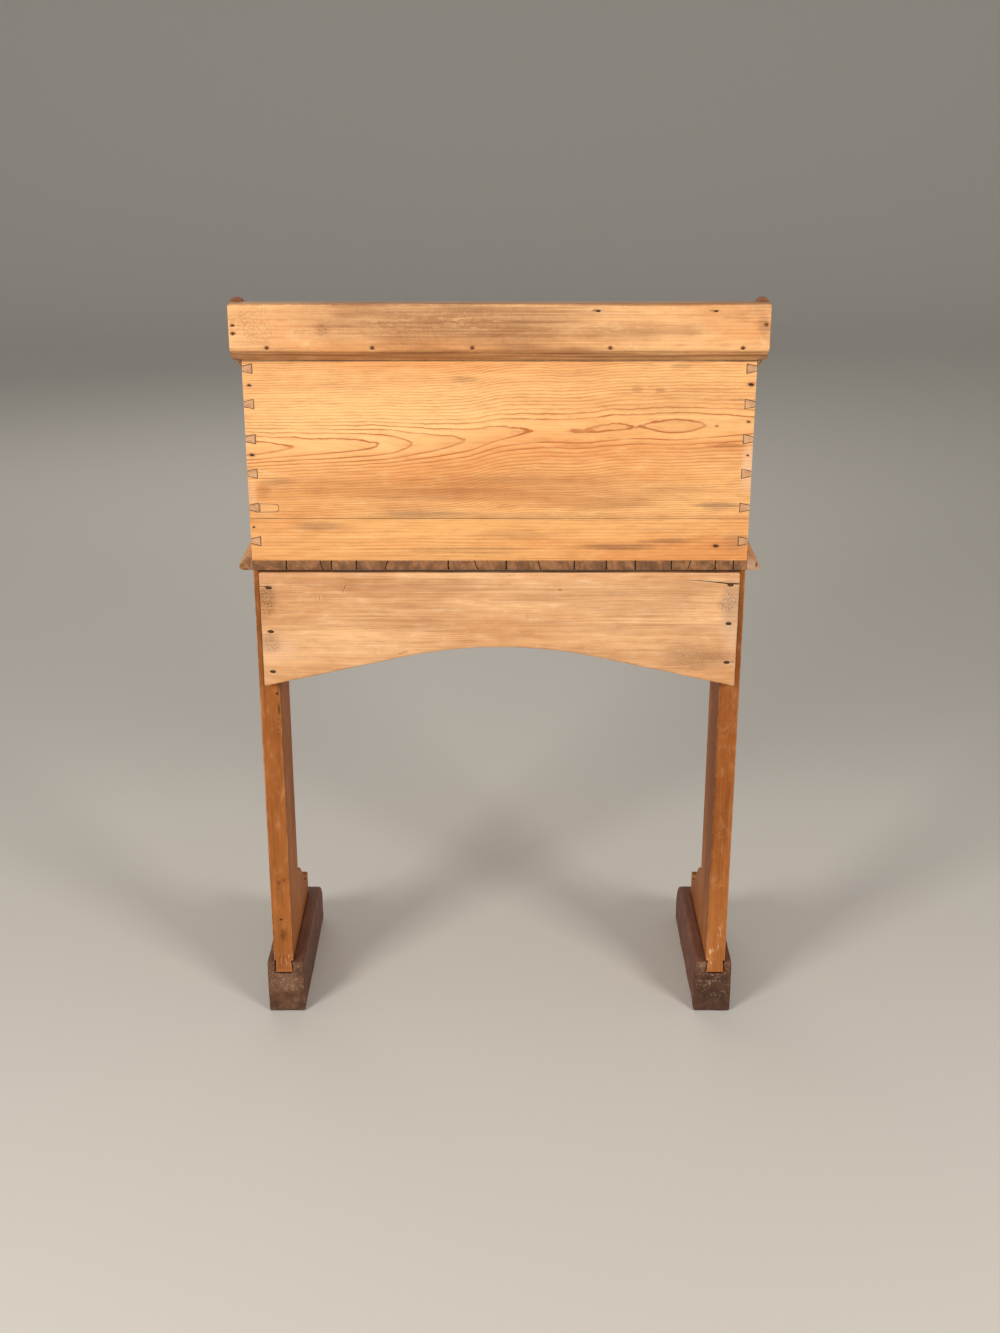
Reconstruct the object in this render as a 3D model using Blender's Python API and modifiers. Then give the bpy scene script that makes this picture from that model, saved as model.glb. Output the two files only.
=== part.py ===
"""A pine school desk: a dovetailed box with a hinged sloping lid, on two plank legs with sledge feet.

Metres, +Z up. The pupil sits at -Y, so the desk's back faces +Y, and left is -X.
The origin is on the floor under the middle of the desk.
"""

import math

import bmesh
import bpy
from mathutils import Matrix

# Fits
FIT = 0.0003  # gap between pieces that touch
WELD = 0.00001  # points closer than this are one point
PAST = 0.004  # how far a cutter runs past the face that it cuts

# The box, whose walls stand on its bottom boards
BOX_WIDTH = 0.638
BOX_DEPTH = 0.400
BOX_HEIGHT_OFF_FLOOR = 0.6625  # to the underside of the bottom boards
BOX_BACK_HEIGHT = 0.267
SIDE_THICKNESS = 0.0125
BACK_THICKNESS = 0.014
FRONT_THICKNESS = 0.014
BACK_LOWER_BOARD = 0.056  # height of the lower of the two back boards
BOTTOM_THICKNESS = 0.0125
BOTTOM_OUTER_BOARD = 0.110  # width of the first and the last bottom board

# Dovetails: the sides carry the pins, the back and the front carry the tails
PIN_NARROW = 0.0065  # a pin's height at the side's outer face
PIN_WIDE = 0.0120  # and at its inner face
PIN_PITCH = 0.0445
PIN_FIRST = 0.026  # middle of the lowest pin above the wall's lower edge
PIN_SHOULDER = 0.010  # least wood above the highest pin

# The fixed ledge behind the lid, and the gallery round it
LEDGE_DEPTH = 0.095
LEDGE_THICKNESS = 0.020
RAIL_THICKNESS = 0.018
RAIL_ABOVE_LEDGE = 0.044
RAIL_BELOW_LEDGE = 0.009
RAIL_BEVEL_HEIGHT = 0.0165
RAIL_CORNER = 0.004
EAR_THICKNESS = 0.018
EAR_OUTSIDE = 0.0117  # how far its outer face stands out from the box's side
EAR_ABOVE_RAIL = 0.005
EAR_BELOW_LEDGE = 0.019
EAR_BEVEL_HEIGHT = 0.017
EAR_CREST = 0.006  # level length at the back, before the top curves down
EAR_TOE_STEP = 0.002  # straight wood left under the rounded top at the front
EAR_SHORT_OF_LID = 0.014  # clear of the lid when it leans back

# Base moulding along the foot of the box
MOULDING_OUT = 0.0172
MOULDING_HEIGHT = 0.023
MOULDING_NOSE = 0.0045  # radius of its rounded lower edge
MOULDING_LIP = 0.0032  # flat top edge

# Legs, each a plank on edge with a shaped bracket at the top and at the foot
LEG_THICKNESS = 0.027
LEG_DEPTH = 0.097
LEG_SETBACK = 0.006  # rear edge forward of the box's back
FOOT_BRACKET_REACH = 0.213  # from the box's back
FOOT_BRACKET_RISE = 0.089  # above the foot, at the leg
FOOT_BRACKET_LOW = 0.029  # above the foot, at the front
TOP_BRACKET_REACH = 0.300
TOP_BRACKET_DROP = 0.110
TOP_BRACKET_LOW = 0.026
BRACKET_FILLET = 0.009  # level step at the leg, before the curve
BRACKET_NIB_LENGTH = 0.013
BRACKET_NIB_RISE = 0.004

# Sledge feet, and the dovetailed tongue under the leg that slides into them
FOOT_WIDTH = 0.0535
FOOT_HEIGHT = 0.081
FOOT_LENGTH = 0.273
FOOT_OUTSIDE_LEG = 0.0108
FOOT_SETBACK = 0.002  # rear end forward of the box's back
FOOT_LEVEL_LENGTH = 0.205  # flat top, before the toe curves down
FOOT_TOE_HEIGHT = 0.030
FOOT_ROUNDING = 0.0075
TONGUE_HEIGHT = 0.019
TONGUE_NECK = 0.0205
TONGUE_BASE = 0.0250

# Arched apron, nailed to the legs' rear edges
APRON_INSET = 0.0085  # each end, from the box's side
APRON_THICKNESS = 0.016
APRON_TOP_GAP = 0.001
APRON_MIDDLE_HEIGHT = 0.1025
ARCH_RADIUS = 0.592  # of the arch's middle
ARCH_HALF_WIDTH = 0.130  # half the width of that arc; straight slopes run on from it

# Lid
LID_SLOPE = math.radians(14)
LID_THICKNESS = 0.019
LID_SIDE_OVERHANG = 0.010
LID_OVERHANG = 0.012  # at the front
LID_UPPER_BOARD = 0.172
LID_NOSE = 0.006  # rounding of its front edge
CLEAT_WIDTH = 0.046
LID_TONGUE_LENGTH = 0.010
LID_TONGUE_THICKNESS = 0.0065

# Hinges
HINGE_FROM_LID_END = 0.129  # a hinge's middle from the lid's end
HINGE_LENGTH = 0.056
HINGE_JOINT = 0.0006  # from the hinge axis to the ledge, and to the lid
LEAF_WIDTH = 0.021
LEAF_THICKNESS = 0.002
KNUCKLE_RADIUS = 0.0032
KNUCKLE_ROOM = 0.0004  # clear space round a turning knuckle
PIN_RADIUS = 0.0014
PIN_ROOM = 0.0002
PIN_HEAD = 0.0012  # how far each end of the pin stands out

# Screws and nails
HINGE_SCREW_HEAD = 0.0031
HINGE_SCREW_RADIUS = 0.0015
HINGE_SCREW_LENGTH = 0.013
HINGE_SCREW_SPREAD = 0.034
HINGE_SCREW_FROM_AXIS = 0.0125
LEG_SCREW_HEAD = 0.0042
LEG_SCREW_RADIUS = 0.0022
LEG_SCREW_LENGTH = 0.038
LEG_SCREW_FROM_SIDE = 0.0065  # its middle from the box side's inner face
LEG_SCREW_SPREAD = 0.165
SCREW_SLOT_WIDTH = 0.0008
SCREW_SLOT_DEPTH = 0.0008
NAIL_WIDTH = 0.0056  # of the head, along the grain
NAIL_HEIGHT = 0.0032
NAIL_TIP = 0.4  # share of the head's size left at the point
NAIL_SUNK = 0.0006
APRON_NAIL_LENGTH = 0.042
APRON_NAIL_INSET = 0.0125
APRON_NAIL_DROPS = {"right": (0.020, 0.080, 0.136), "left": (0.016, 0.069, 0.123)}
RAIL_NAIL_LENGTH = 0.040
RAIL_NAIL_SHARES = (-0.90, -0.41, 0.10, 0.47, 0.86)  # of half the rail, along the ledge's edge
RAIL_END_NAIL_INSET = 0.006
RAIL_END_NAIL_DROPS = {"right": (0.0265, 0.0365), "left": (0.0255,)}  # below the rail's top

# Places that follow from those sizes
DEPTH_OVER_ALL = RAIL_THICKNESS + FIT + BOX_DEPTH + FIT + MOULDING_OUT
BACK_Y = DEPTH_OVER_ALL / 2 - RAIL_THICKNESS - FIT
FRONT_Y = BACK_Y - BOX_DEPTH
HALF_WIDTH = BOX_WIDTH / 2
RAIL_LENGTH = BOX_WIDTH + 2 * (FIT + EAR_OUTSIDE)
LID_WIDTH = BOX_WIDTH + 2 * LID_SIDE_OVERHANG
APRON_LENGTH = BOX_WIDTH - 2 * APRON_INSET
HINGE_PLACE = LID_WIDTH / 2 - HINGE_FROM_LID_END
WALL_FOOT = BOX_HEIGHT_OFF_FLOOR + BOTTOM_THICKNESS + FIT
BOX_TOP = WALL_FOOT + BOX_BACK_HEIGHT
LEDGE_FOOT = BOX_TOP + FIT
LEDGE_TOP = LEDGE_FOOT + LEDGE_THICKNESS
RAIL_TOP = LEDGE_TOP + RAIL_ABOVE_LEDGE
RAIL_FOOT = LEDGE_FOOT - RAIL_BELOW_LEDGE
EAR_TOP = RAIL_TOP + EAR_ABOVE_RAIL
EAR_FOOT = LEDGE_FOOT - EAR_BELOW_LEDGE
EAR_INNER = HALF_WIDTH + FIT + EAR_OUTSIDE - EAR_THICKNESS
AXIS_Y = BACK_Y - LEDGE_DEPTH
EAR_TOE_Y = AXIS_Y + EAR_SHORT_OF_LID
LEG_TOP = BOX_HEIGHT_OFF_FLOOR - FIT
LEG_INNER_FACE = HALF_WIDTH - LEG_THICKNESS
FOOT_OUTER_FACE = HALF_WIDTH + FOOT_OUTSIDE_LEG
APRON_TOP = BOX_HEIGHT_OFF_FLOOR - APRON_TOP_GAP
APRON_FRONT_Y = BACK_Y - LEG_SETBACK + FIT
LID_LENGTH = (BOX_DEPTH - LEDGE_DEPTH + LID_OVERHANG) / math.cos(LID_SLOPE)
SIDES = {"left": -1, "right": 1}


def forward(distance):
    """Returns the Y of a place at a distance forward of the box's back."""
    return BACK_Y - distance


def slope_height(y):
    """Returns how high a wall may stand under the closed lid at y."""
    under_axis = LEDGE_TOP - LID_THICKNESS / math.cos(LID_SLOPE) - FIT
    return under_axis - (AXIS_Y - y) * math.tan(LID_SLOPE)


def arc(centre, radii, start, end, steps):
    """Returns points along an ellipse's arc, with the angles in degrees."""
    turns = [math.radians(start + (end - start) * step / steps) for step in range(steps + 1)]
    return [(centre[0] + radii[0] * math.cos(turn), centre[1] + radii[1] * math.sin(turn)) for turn in turns]


def ogee(start, end, steps):
    """Returns points of an S-curve that is level at both its ends."""
    shares = [step / steps for step in range(steps + 1)]
    eased = [(1 - math.cos(math.pi * share)) / 2 for share in shares]
    return [(start[0] + (end[0] - start[0]) * share, start[1] + (end[1] - start[1]) * rise)
            for share, rise in zip(shares, eased)]


# The scene, its collections and materials
for old_object in list(bpy.data.objects):
    bpy.data.objects.remove(old_object)

desk = bpy.data.collections.new("school_desk")
cutters = bpy.data.collections.new("cutters")
for collection in (desk, cutters):
    bpy.context.scene.collection.children.link(collection)


def finish(name, colour, roughness, metallic=0.0):
    """Makes a plain material."""
    material = bpy.data.materials.new(name)
    material.use_nodes = True
    shader = material.node_tree.nodes["Principled BSDF"]
    shader.inputs["Base Color"].default_value = (*colour, 1.0)
    shader.inputs["Roughness"].default_value = roughness
    shader.inputs["Metallic"].default_value = metallic
    return material


BOX_PINE = finish("box_pine", (0.66, 0.36, 0.13), 0.5)
GALLERY_PINE = finish("gallery_pine", (0.58, 0.29, 0.10), 0.5)
APRON_PINE = finish("apron_pine", (0.60, 0.35, 0.18), 0.6)
LID_PINE = finish("lid_pine", (0.60, 0.31, 0.11), 0.4)
BOTTOM_PINE = finish("bottom_pine", (0.33, 0.20, 0.10), 0.7)
LEG_WOOD = finish("leg_wood", (0.48, 0.20, 0.06), 0.4)
FOOT_WOOD = finish("foot_wood", (0.13, 0.055, 0.03), 0.55)
HINGE_BRASS = finish("hinge_brass", (0.47, 0.33, 0.13), 0.4, 1.0)
SCREW_STEEL = finish("screw_steel", (0.22, 0.20, 0.18), 0.5, 1.0)
NAIL_IRON = finish("nail_iron", (0.06, 0.045, 0.04), 0.7, 1.0)


def keep(solid, material, parent=None):
    """Makes a solid one of the desk's pieces."""
    desk.objects.link(solid)
    solid.data.materials.clear()
    solid.data.materials.append(material)
    solid.parent = parent
    return solid


def cutter(solid, parent=None):
    """Makes a solid a tool that only cuts others."""
    cutters.objects.link(solid)
    solid.hide_render = True
    solid.display_type = "WIRE"
    solid.parent = parent
    return solid


def cut(solid, tool):
    """Takes the tool's shape out of a solid."""
    boolean = solid.modifiers.new(f"cut_{tool.name}", "BOOLEAN")
    boolean.operation = "DIFFERENCE"
    boolean.object = tool


def soften(solid, width, segments=1):
    """Rounds a solid's sharp edges."""
    bevel = solid.modifiers.new("softened_edges", "BEVEL")
    bevel.width = width
    bevel.segments = segments
    bevel.limit_method = "ANGLE"
    bevel.angle_limit = math.radians(40)
    solid.data.shade_smooth()
    solid.data.set_sharp_from_angle(angle=math.radians(35))


# Ways to make a solid
TURN_TO_AXIS = {
    "X": (math.pi / 2, 0, math.pi / 2),
    "Y": (math.pi / 2, 0, 0),
    "Z": (0, 0, 0),
}


def extrude(name, points, axis, low, high):
    """Extrudes an outline from low to high along an axis.

    The outline's points are (y, z) along X, (x, z) along Y and (x, y) along Z.
    """
    outline = bpy.data.curves.new(name, "CURVE")
    outline.dimensions = "2D"
    outline.fill_mode = "BOTH"
    outline.extrude = (high - low) / 2
    spline = outline.splines.new("POLY")
    spline.points.add(len(points) - 1)
    for point, place in zip(spline.points, points):
        point.co = (*place, 0, 1)
    spline.use_cyclic_u = True
    shape = bpy.data.objects.new("outline", outline)
    shape.rotation_euler = TURN_TO_AXIS[axis]
    shape.location["XYZ".index(axis)] = (low + high) / 2
    bpy.context.scene.collection.objects.link(shape)
    bpy.context.view_layer.update()
    seen = shape.evaluated_get(bpy.context.evaluated_depsgraph_get())
    mesh = bpy.data.meshes.new_from_object(seen)
    weld(mesh)
    solid = bpy.data.objects.new(name, mesh)
    solid.matrix_world = shape.matrix_world
    bpy.data.objects.remove(shape)
    return solid


def weld(mesh):
    """Joins an outline's caps to its walls."""
    edit = bmesh.new()
    edit.from_mesh(mesh)
    bmesh.ops.remove_doubles(edit, verts=edit.verts, dist=WELD)
    bmesh.ops.recalc_face_normals(edit, faces=edit.faces)
    edit.to_mesh(mesh)
    edit.free()


def blocks(name, corners):
    """Makes one mesh of boxes, each between its lowest and its highest corner."""
    edit = bmesh.new()
    for low, high in corners:
        middle = [(a + b) / 2 for a, b in zip(low, high)]
        size = [b - a for a, b in zip(low, high)]
        place = Matrix.Translation(middle) @ Matrix.Diagonal((*size, 1))
        bmesh.ops.create_cube(edit, size=1, matrix=place)
    return from_edit(name, edit)


def from_edit(name, edit):
    """Makes an object of an edited mesh."""
    mesh = bpy.data.meshes.new(name)
    edit.to_mesh(mesh)
    edit.free()
    return bpy.data.objects.new(name, mesh)


def rod(name, radius, x_low, x_high, segments=16):
    """Makes a round rod along X, centred on the X axis."""
    edit = bmesh.new()
    place = Matrix.Translation(((x_low + x_high) / 2, 0, 0)) @ Matrix.Rotation(math.pi / 2, 4, "Y")
    bmesh.ops.create_cone(edit, cap_ends=True, segments=segments, radius1=radius, radius2=radius,
                          depth=x_high - x_low, matrix=place)
    return from_edit(name, edit)


# Dovetails
def pin_heights(wall_height):
    """Returns the middles of the pins in a wall, up from its lower edge."""
    room = wall_height - PIN_FIRST - PIN_WIDE / 2 - PIN_SHOULDER
    return [PIN_FIRST + PIN_PITCH * step for step in range(int(room / PIN_PITCH) + 1)]


def half_pin(depth):
    """Returns half a pin's height at a depth in from the side's outer face."""
    return (PIN_NARROW + (PIN_WIDE - PIN_NARROW) * depth / SIDE_THICKNESS) / 2


def wedges(name, spans, depths, side, y_low, y_high):
    """Makes blocks that taper from a side's outer face inwards.

    Each span gives a block's lower and upper edge as functions of the depth from that face.
    """
    edit = bmesh.new()
    for low, high in spans:
        block = bmesh.ops.create_cube(edit, size=1)
        for corner in block["verts"]:
            depth = depths[0] if corner.co.x > 0 else depths[1]
            corner_y = y_high if corner.co.y > 0 else y_low
            corner_z = high(depth) if corner.co.z > 0 else low(depth)
            corner.co = (side * (HALF_WIDTH - depth), corner_y, WALL_FOOT + corner_z)
    if side < 0:
        bmesh.ops.reverse_faces(edit, faces=edit.faces)
    return cutter(from_edit(name, edit))


def socket_cutter(name, heights, side, y_low, y_high):
    """Makes the cutter for the sockets that a side's pins fill."""
    spans = [(lambda depth, z=z: z - half_pin(depth) - FIT, lambda depth, z=z: z + half_pin(depth) + FIT)
             for z in heights]
    return wedges(name, spans, (-PAST, SIDE_THICKNESS + FIT), side, y_low, y_high)


def tail_cutter(name, heights, wall_height, side, y_low, y_high):
    """Makes the cutter for the wood between a side's pins, where the tails lie."""
    edges = [lambda depth: -PAST]
    for z in heights:
        edges += [lambda depth, z=z: z - half_pin(depth), lambda depth, z=z: z + half_pin(depth)]
    edges.append(lambda depth: wall_height + PAST)
    spans = list(zip(edges[0::2], edges[1::2]))
    return wedges(name, spans, (-PAST, SIDE_THICKNESS + PAST), side, y_low, y_high)


# The box
def make_box():
    """Makes the dovetailed walls and the bottom boards."""
    front_height = slope_height(FRONT_Y) - WALL_FOOT
    corners = {
        "back": (pin_heights(BOX_BACK_HEIGHT), BOX_BACK_HEIGHT, BACK_Y - BACK_THICKNESS, BACK_Y),
        "front": (pin_heights(front_height), BOX_BACK_HEIGHT, FRONT_Y, FRONT_Y + FRONT_THICKNESS),
    }
    joint = WALL_FOOT + BACK_LOWER_BOARD
    walls = {
        "back": [
            blocks("back_board_lower", [((-HALF_WIDTH, BACK_Y - BACK_THICKNESS, WALL_FOOT),
                                         (HALF_WIDTH, BACK_Y, joint - FIT / 2))]),
            blocks("back_board_upper", [((-HALF_WIDTH, BACK_Y - BACK_THICKNESS, joint + FIT / 2),
                                         (HALF_WIDTH, BACK_Y, BOX_TOP))]),
        ],
        "front": [extrude("front_board", wall_outline(FRONT_Y, FRONT_Y + FRONT_THICKNESS), "X",
                          -HALF_WIDTH, HALF_WIDTH)],
    }
    for boards in walls.values():
        for board in boards:
            keep(board, BOX_PINE)
    for name, side in SIDES.items():
        faces = sorted((side * HALF_WIDTH, side * (HALF_WIDTH - SIDE_THICKNESS)))
        side_board = keep(extrude(f"side_board_{name}", wall_outline(FRONT_Y, BACK_Y), "X", *faces), BOX_PINE)
        for end, (heights, wall_height, y_low, y_high) in corners.items():
            inside, outside = (FIT, PAST) if end == "back" else (PAST, FIT)
            tails = tail_cutter(f"{end}_tails_{name}", heights, wall_height, side, y_low - inside, y_high + outside)
            sockets = socket_cutter(f"{end}_sockets_{name}", heights, side, y_low - PAST, y_high + PAST)
            cut(side_board, tails)
            for board in walls[end]:
                cut(board, sockets)
    make_bottom()


def wall_outline(y_front, y_back):
    """Returns the outline of a wall that ends under the lid's slope and, behind it, under the ledge."""
    turn_y = AXIS_Y - (slope_height(AXIS_Y) - BOX_TOP) / math.tan(LID_SLOPE)
    points = [(y_back, WALL_FOOT), (y_front, WALL_FOOT), (y_front, slope_height(y_front))]
    if y_back > turn_y:
        return points + [(turn_y, BOX_TOP), (y_back, BOX_TOP)]
    return points + [(y_back, slope_height(y_back))]


def make_bottom():
    """Lays four boards from front to back under the walls, and screws each leg to the outer ones."""
    joints = (-HALF_WIDTH, -HALF_WIDTH + BOTTOM_OUTER_BOARD, 0, HALF_WIDTH - BOTTOM_OUTER_BOARD, HALF_WIDTH)
    for number, (start, end) in enumerate(zip(joints, joints[1:]), 1):
        low = (start + FIT / 2, FRONT_Y, BOX_HEIGHT_OFF_FLOOR)
        high = (end - FIT / 2, BACK_Y, BOX_HEIGHT_OFF_FLOOR + BOTTOM_THICKNESS)
        keep(blocks(f"bottom_board_{number}", [(low, high)]), BOTTOM_PINE)


# The ledge and the gallery
def make_ledge_and_gallery():
    """Makes the fixed ledge, notched for the ears, the bevelled rail behind it and a curved ear at each end."""
    ledge = blocks("top_ledge", [((-HALF_WIDTH, AXIS_Y + HINGE_JOINT, LEDGE_FOOT),
                                  (HALF_WIDTH, BACK_Y, LEDGE_TOP))])
    soften(keep(ledge, LID_PINE), 0.0008)
    for name, side in SIDES.items():
        ends = sorted((side * (EAR_INNER - FIT), side * (HALF_WIDTH + PAST)))
        notch = blocks(f"notch_for_ear_{name}", [((ends[0], EAR_TOE_Y - FIT, LEDGE_FOOT - PAST),
                                                  (ends[1], BACK_Y + PAST, LEDGE_TOP + PAST))])
        cut(ledge, cutter(notch))

    half = RAIL_LENGTH / 2
    corner = (RAIL_CORNER, RAIL_CORNER)
    rail_points = [(half, RAIL_FOOT - PAST)]
    rail_points += arc((half - RAIL_CORNER, RAIL_TOP - RAIL_CORNER), corner, 0, 90, 4)
    rail_points += arc((RAIL_CORNER - half, RAIL_TOP - RAIL_CORNER), corner, 90, 180, 4)
    rail_points.append((-half, RAIL_FOOT - PAST))
    rail_y = BACK_Y + FIT
    rail = keep(extrude("gallery_back_rail", rail_points, "Y", rail_y, rail_y + RAIL_THICKNESS), GALLERY_PINE)
    soften(rail, 0.0008)
    rise = RAIL_BEVEL_HEIGHT / RAIL_THICKNESS
    below = RAIL_FOOT - PAST * rise - 2 * PAST
    bevel_points = [(rail_y - PAST, RAIL_FOOT - PAST * rise), (rail_y - PAST, below),
                    (rail_y + RAIL_THICKNESS + PAST, below),
                    (rail_y + RAIL_THICKNESS + PAST, RAIL_FOOT + RAIL_BEVEL_HEIGHT + PAST * rise)]
    cut(rail, cutter(extrude("rail_bevel", bevel_points, "X", -half - PAST, half + PAST)))

    for name, side in SIDES.items():
        make_ear(name, side)


def make_ear(name, side):
    """Makes a gallery side piece, which stands on the box's side and is rebated over its outer face.

    Its half-round top is level at the back, and then sinks along an ogee.
    """
    shoulder = HALF_WIDTH + FIT
    radius = EAR_THICKNESS / 2
    section = [(shoulder, EAR_FOOT), (shoulder + EAR_OUTSIDE, EAR_FOOT + EAR_BEVEL_HEIGHT)]
    section += arc((EAR_INNER + radius, EAR_TOP - radius), (radius, radius), 0, 180, 8)
    section += [(EAR_INNER, LEDGE_FOOT), (shoulder, LEDGE_FOOT)]
    ear = extrude(f"gallery_side_{name}", [(side * x, z) for x, z in section], "Y", EAR_TOE_Y, BACK_Y)
    curve = ogee((forward(EAR_CREST), 0), (EAR_TOE_Y, EAR_TOP - LEDGE_TOP - radius - EAR_TOE_STEP), 12)
    sink_top(ear, curve, EAR_TOP - radius)
    soften(keep(ear, GALLERY_PINE), 0.0006)


def sink_top(solid, curve, spring):
    """Cuts a solid across at the curve's places along Y, and lowers what lies above the spring line by its drops."""
    solid.data.transform(solid.matrix_world)
    solid.matrix_world = Matrix.Identity(4)
    edit = bmesh.new()
    edit.from_mesh(solid.data)
    for y, _ in curve[:-1]:
        everything = edit.verts[:] + edit.edges[:] + edit.faces[:]
        bmesh.ops.bisect_plane(edit, geom=everything, plane_co=(0, y, 0), plane_no=(0, 1, 0), dist=WELD)
    for corner in edit.verts:
        if corner.co.z > spring - WELD:
            corner.co.z -= min(curve, key=lambda place: abs(place[0] - min(corner.co.y, curve[0][0])))[1]
    edit.to_mesh(solid.data)
    edit.free()


# The base moulding
def make_moulding():
    """Runs the moulding along both sides and, mitred, round the front."""
    nose = (MOULDING_OUT - MOULDING_NOSE, MOULDING_NOSE)
    profile = [(0, 0)] + arc(nose, (MOULDING_NOSE, MOULDING_NOSE), -90, 45, 5)
    profile += [(MOULDING_LIP, MOULDING_HEIGHT), (0, MOULDING_HEIGHT)]
    reach = MOULDING_OUT + FIT
    for name, side in SIDES.items():
        points = [(side * (HALF_WIDTH + FIT + out), BOX_HEIGHT_OFF_FLOOR + up) for out, up in profile]
        piece = extrude(f"base_moulding_{name}", points, "Y", FRONT_Y - reach, BACK_Y)
        keep(piece, BOX_PINE)
        cut(piece, mitre_cutter(f"side_mitre_{name}", side, "side"))
    points = [(FRONT_Y - FIT - out, BOX_HEIGHT_OFF_FLOOR + up) for out, up in profile]
    width = HALF_WIDTH + reach
    front = keep(extrude("base_moulding_front", points, "X", -width, width), BOX_PINE)
    for name, side in SIDES.items():
        cut(front, mitre_cutter(f"front_mitre_{name}", side, "front"))


def mitre_cutter(name, side, piece):
    """Makes the cutter that leaves one of the two mouldings at a front corner on its side of the mitre."""
    far = MOULDING_OUT + 3 * PAST
    shift = FIT / 2 if piece == "side" else -FIT / 2
    inner = (side * (HALF_WIDTH - PAST + shift), FRONT_Y + PAST)
    outer = (side * (HALF_WIDTH + far + shift), FRONT_Y - far)
    corner = (inner[0], outer[1]) if piece == "side" else (outer[0], inner[1])
    low = BOX_HEIGHT_OFF_FLOOR - PAST
    return cutter(extrude(name, [inner, outer, corner], "Z", low, low + MOULDING_HEIGHT + 2 * PAST))


# The stand
def make_stand():
    """Makes the legs, the feet that they slide into and the apron between them."""
    for name, side in SIDES.items():
        leg = make_leg(name, side)
        foot = make_foot(name, side)
        middle = side * (HALF_WIDTH - LEG_THICKNESS / 2)
        for cheek in (-1, 1):
            cut(leg, cheek_cutter(f"tongue_cheek_{name}_{'outer' if cheek == side else 'inner'}", middle, cheek))
        cut(foot, groove_cutter(f"foot_groove_{name}", middle))
    make_apron()


def bracket(start, end, nib):
    """Returns a bracket's edge: a fillet, an ogee and a nib at its front end."""
    step = math.copysign(BRACKET_FILLET, end[0] - start[0])
    length = math.copysign(BRACKET_NIB_LENGTH, end[0] - start[0])
    curve = ogee((start[0] + step, start[1]), (end[0] - length, end[1]), 12)
    return [start] + curve + [(end[0] - length, end[1] + nib), (end[0], end[1] + nib)]


def make_leg(name, side):
    """Makes a plank leg whose front edge runs out into a bracket at the top and at the foot."""
    rear = forward(LEG_SETBACK)
    front = rear - LEG_DEPTH
    tongue_foot = FOOT_HEIGHT - TONGUE_HEIGHT + FIT
    points = [(rear, tongue_foot), (rear, LEG_TOP), (forward(TOP_BRACKET_REACH), LEG_TOP)]
    points += reversed(bracket((front, LEG_TOP - TOP_BRACKET_DROP),
                               (forward(TOP_BRACKET_REACH), LEG_TOP - TOP_BRACKET_LOW), -BRACKET_NIB_RISE))
    points += bracket((front, FOOT_HEIGHT + FOOT_BRACKET_RISE),
                      (forward(FOOT_BRACKET_REACH), FOOT_HEIGHT + FOOT_BRACKET_LOW), BRACKET_NIB_RISE)
    points.append((forward(FOOT_BRACKET_REACH), tongue_foot))
    faces = sorted((side * HALF_WIDTH, side * LEG_INNER_FACE))
    leg = keep(extrude(f"leg_{name}", points, "X", *faces), LEG_WOOD)
    soften(leg, 0.001)
    return leg


def tongue_half_width(z):
    """Returns half the width of the dovetailed tongue at a height."""
    share = (FOOT_HEIGHT - z) / TONGUE_HEIGHT
    return (TONGUE_NECK + (TONGUE_BASE - TONGUE_NECK) * share) / 2


def cheek_cutter(name, middle, cheek):
    """Makes the cutter that leaves one flank of the tongue under a leg."""
    top = FOOT_HEIGHT + FIT
    foot = FOOT_HEIGHT - TONGUE_HEIGHT - PAST
    points = [(middle + cheek * tongue_half_width(top), top), (middle + cheek * LEG_THICKNESS, top),
              (middle + cheek * LEG_THICKNESS, foot), (middle + cheek * tongue_half_width(foot), foot)]
    return cutter(extrude(name, points, "Y", forward(FOOT_LENGTH), BACK_Y + PAST))


def groove_cutter(name, middle):
    """Makes the cutter for a foot's dovetailed groove, open at the rear end."""
    top = FOOT_HEIGHT + PAST
    foot = FOOT_HEIGHT - TONGUE_HEIGHT
    half_top = tongue_half_width(top) + FIT
    half_foot = tongue_half_width(foot) + FIT
    points = [(middle - half_top, top), (middle + half_top, top),
              (middle + half_foot, foot), (middle - half_foot, foot)]
    return cutter(extrude(name, points, "Y", forward(FOOT_BRACKET_REACH + FIT), BACK_Y + PAST))


def make_foot(name, side):
    """Makes a sledge foot with a rounded toe and rounded top edges, square at its rear end and underneath."""
    rear = forward(FOOT_SETBACK)
    toe = rear - FOOT_LENGTH
    level = rear - FOOT_LEVEL_LENGTH
    spare = 2 * FOOT_ROUNDING
    points = [(rear + spare, -spare), (rear + spare, FOOT_HEIGHT)]
    points += arc((level, FOOT_TOE_HEIGHT), (toe - level, FOOT_HEIGHT - FOOT_TOE_HEIGHT), 90, 0, 9)
    points.append((toe, -spare))
    faces = sorted((side * FOOT_OUTER_FACE, side * (FOOT_OUTER_FACE - FOOT_WIDTH)))
    foot = keep(extrude(f"foot_{name}", points, "X", *faces), FOOT_WOOD)
    soften(foot, FOOT_ROUNDING, 3)
    low_x, high_x = faces[0] - PAST, faces[1] + PAST
    cut(foot, cutter(blocks(f"foot_end_{name}", [
        ((low_x, rear, -spare - PAST), (high_x, rear + spare + PAST, FOOT_HEIGHT + PAST))])))
    cut(foot, cutter(blocks(f"foot_sole_{name}", [
        ((low_x, toe - PAST, -spare - PAST), (high_x, rear + spare + PAST, 0))])))
    return foot


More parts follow.
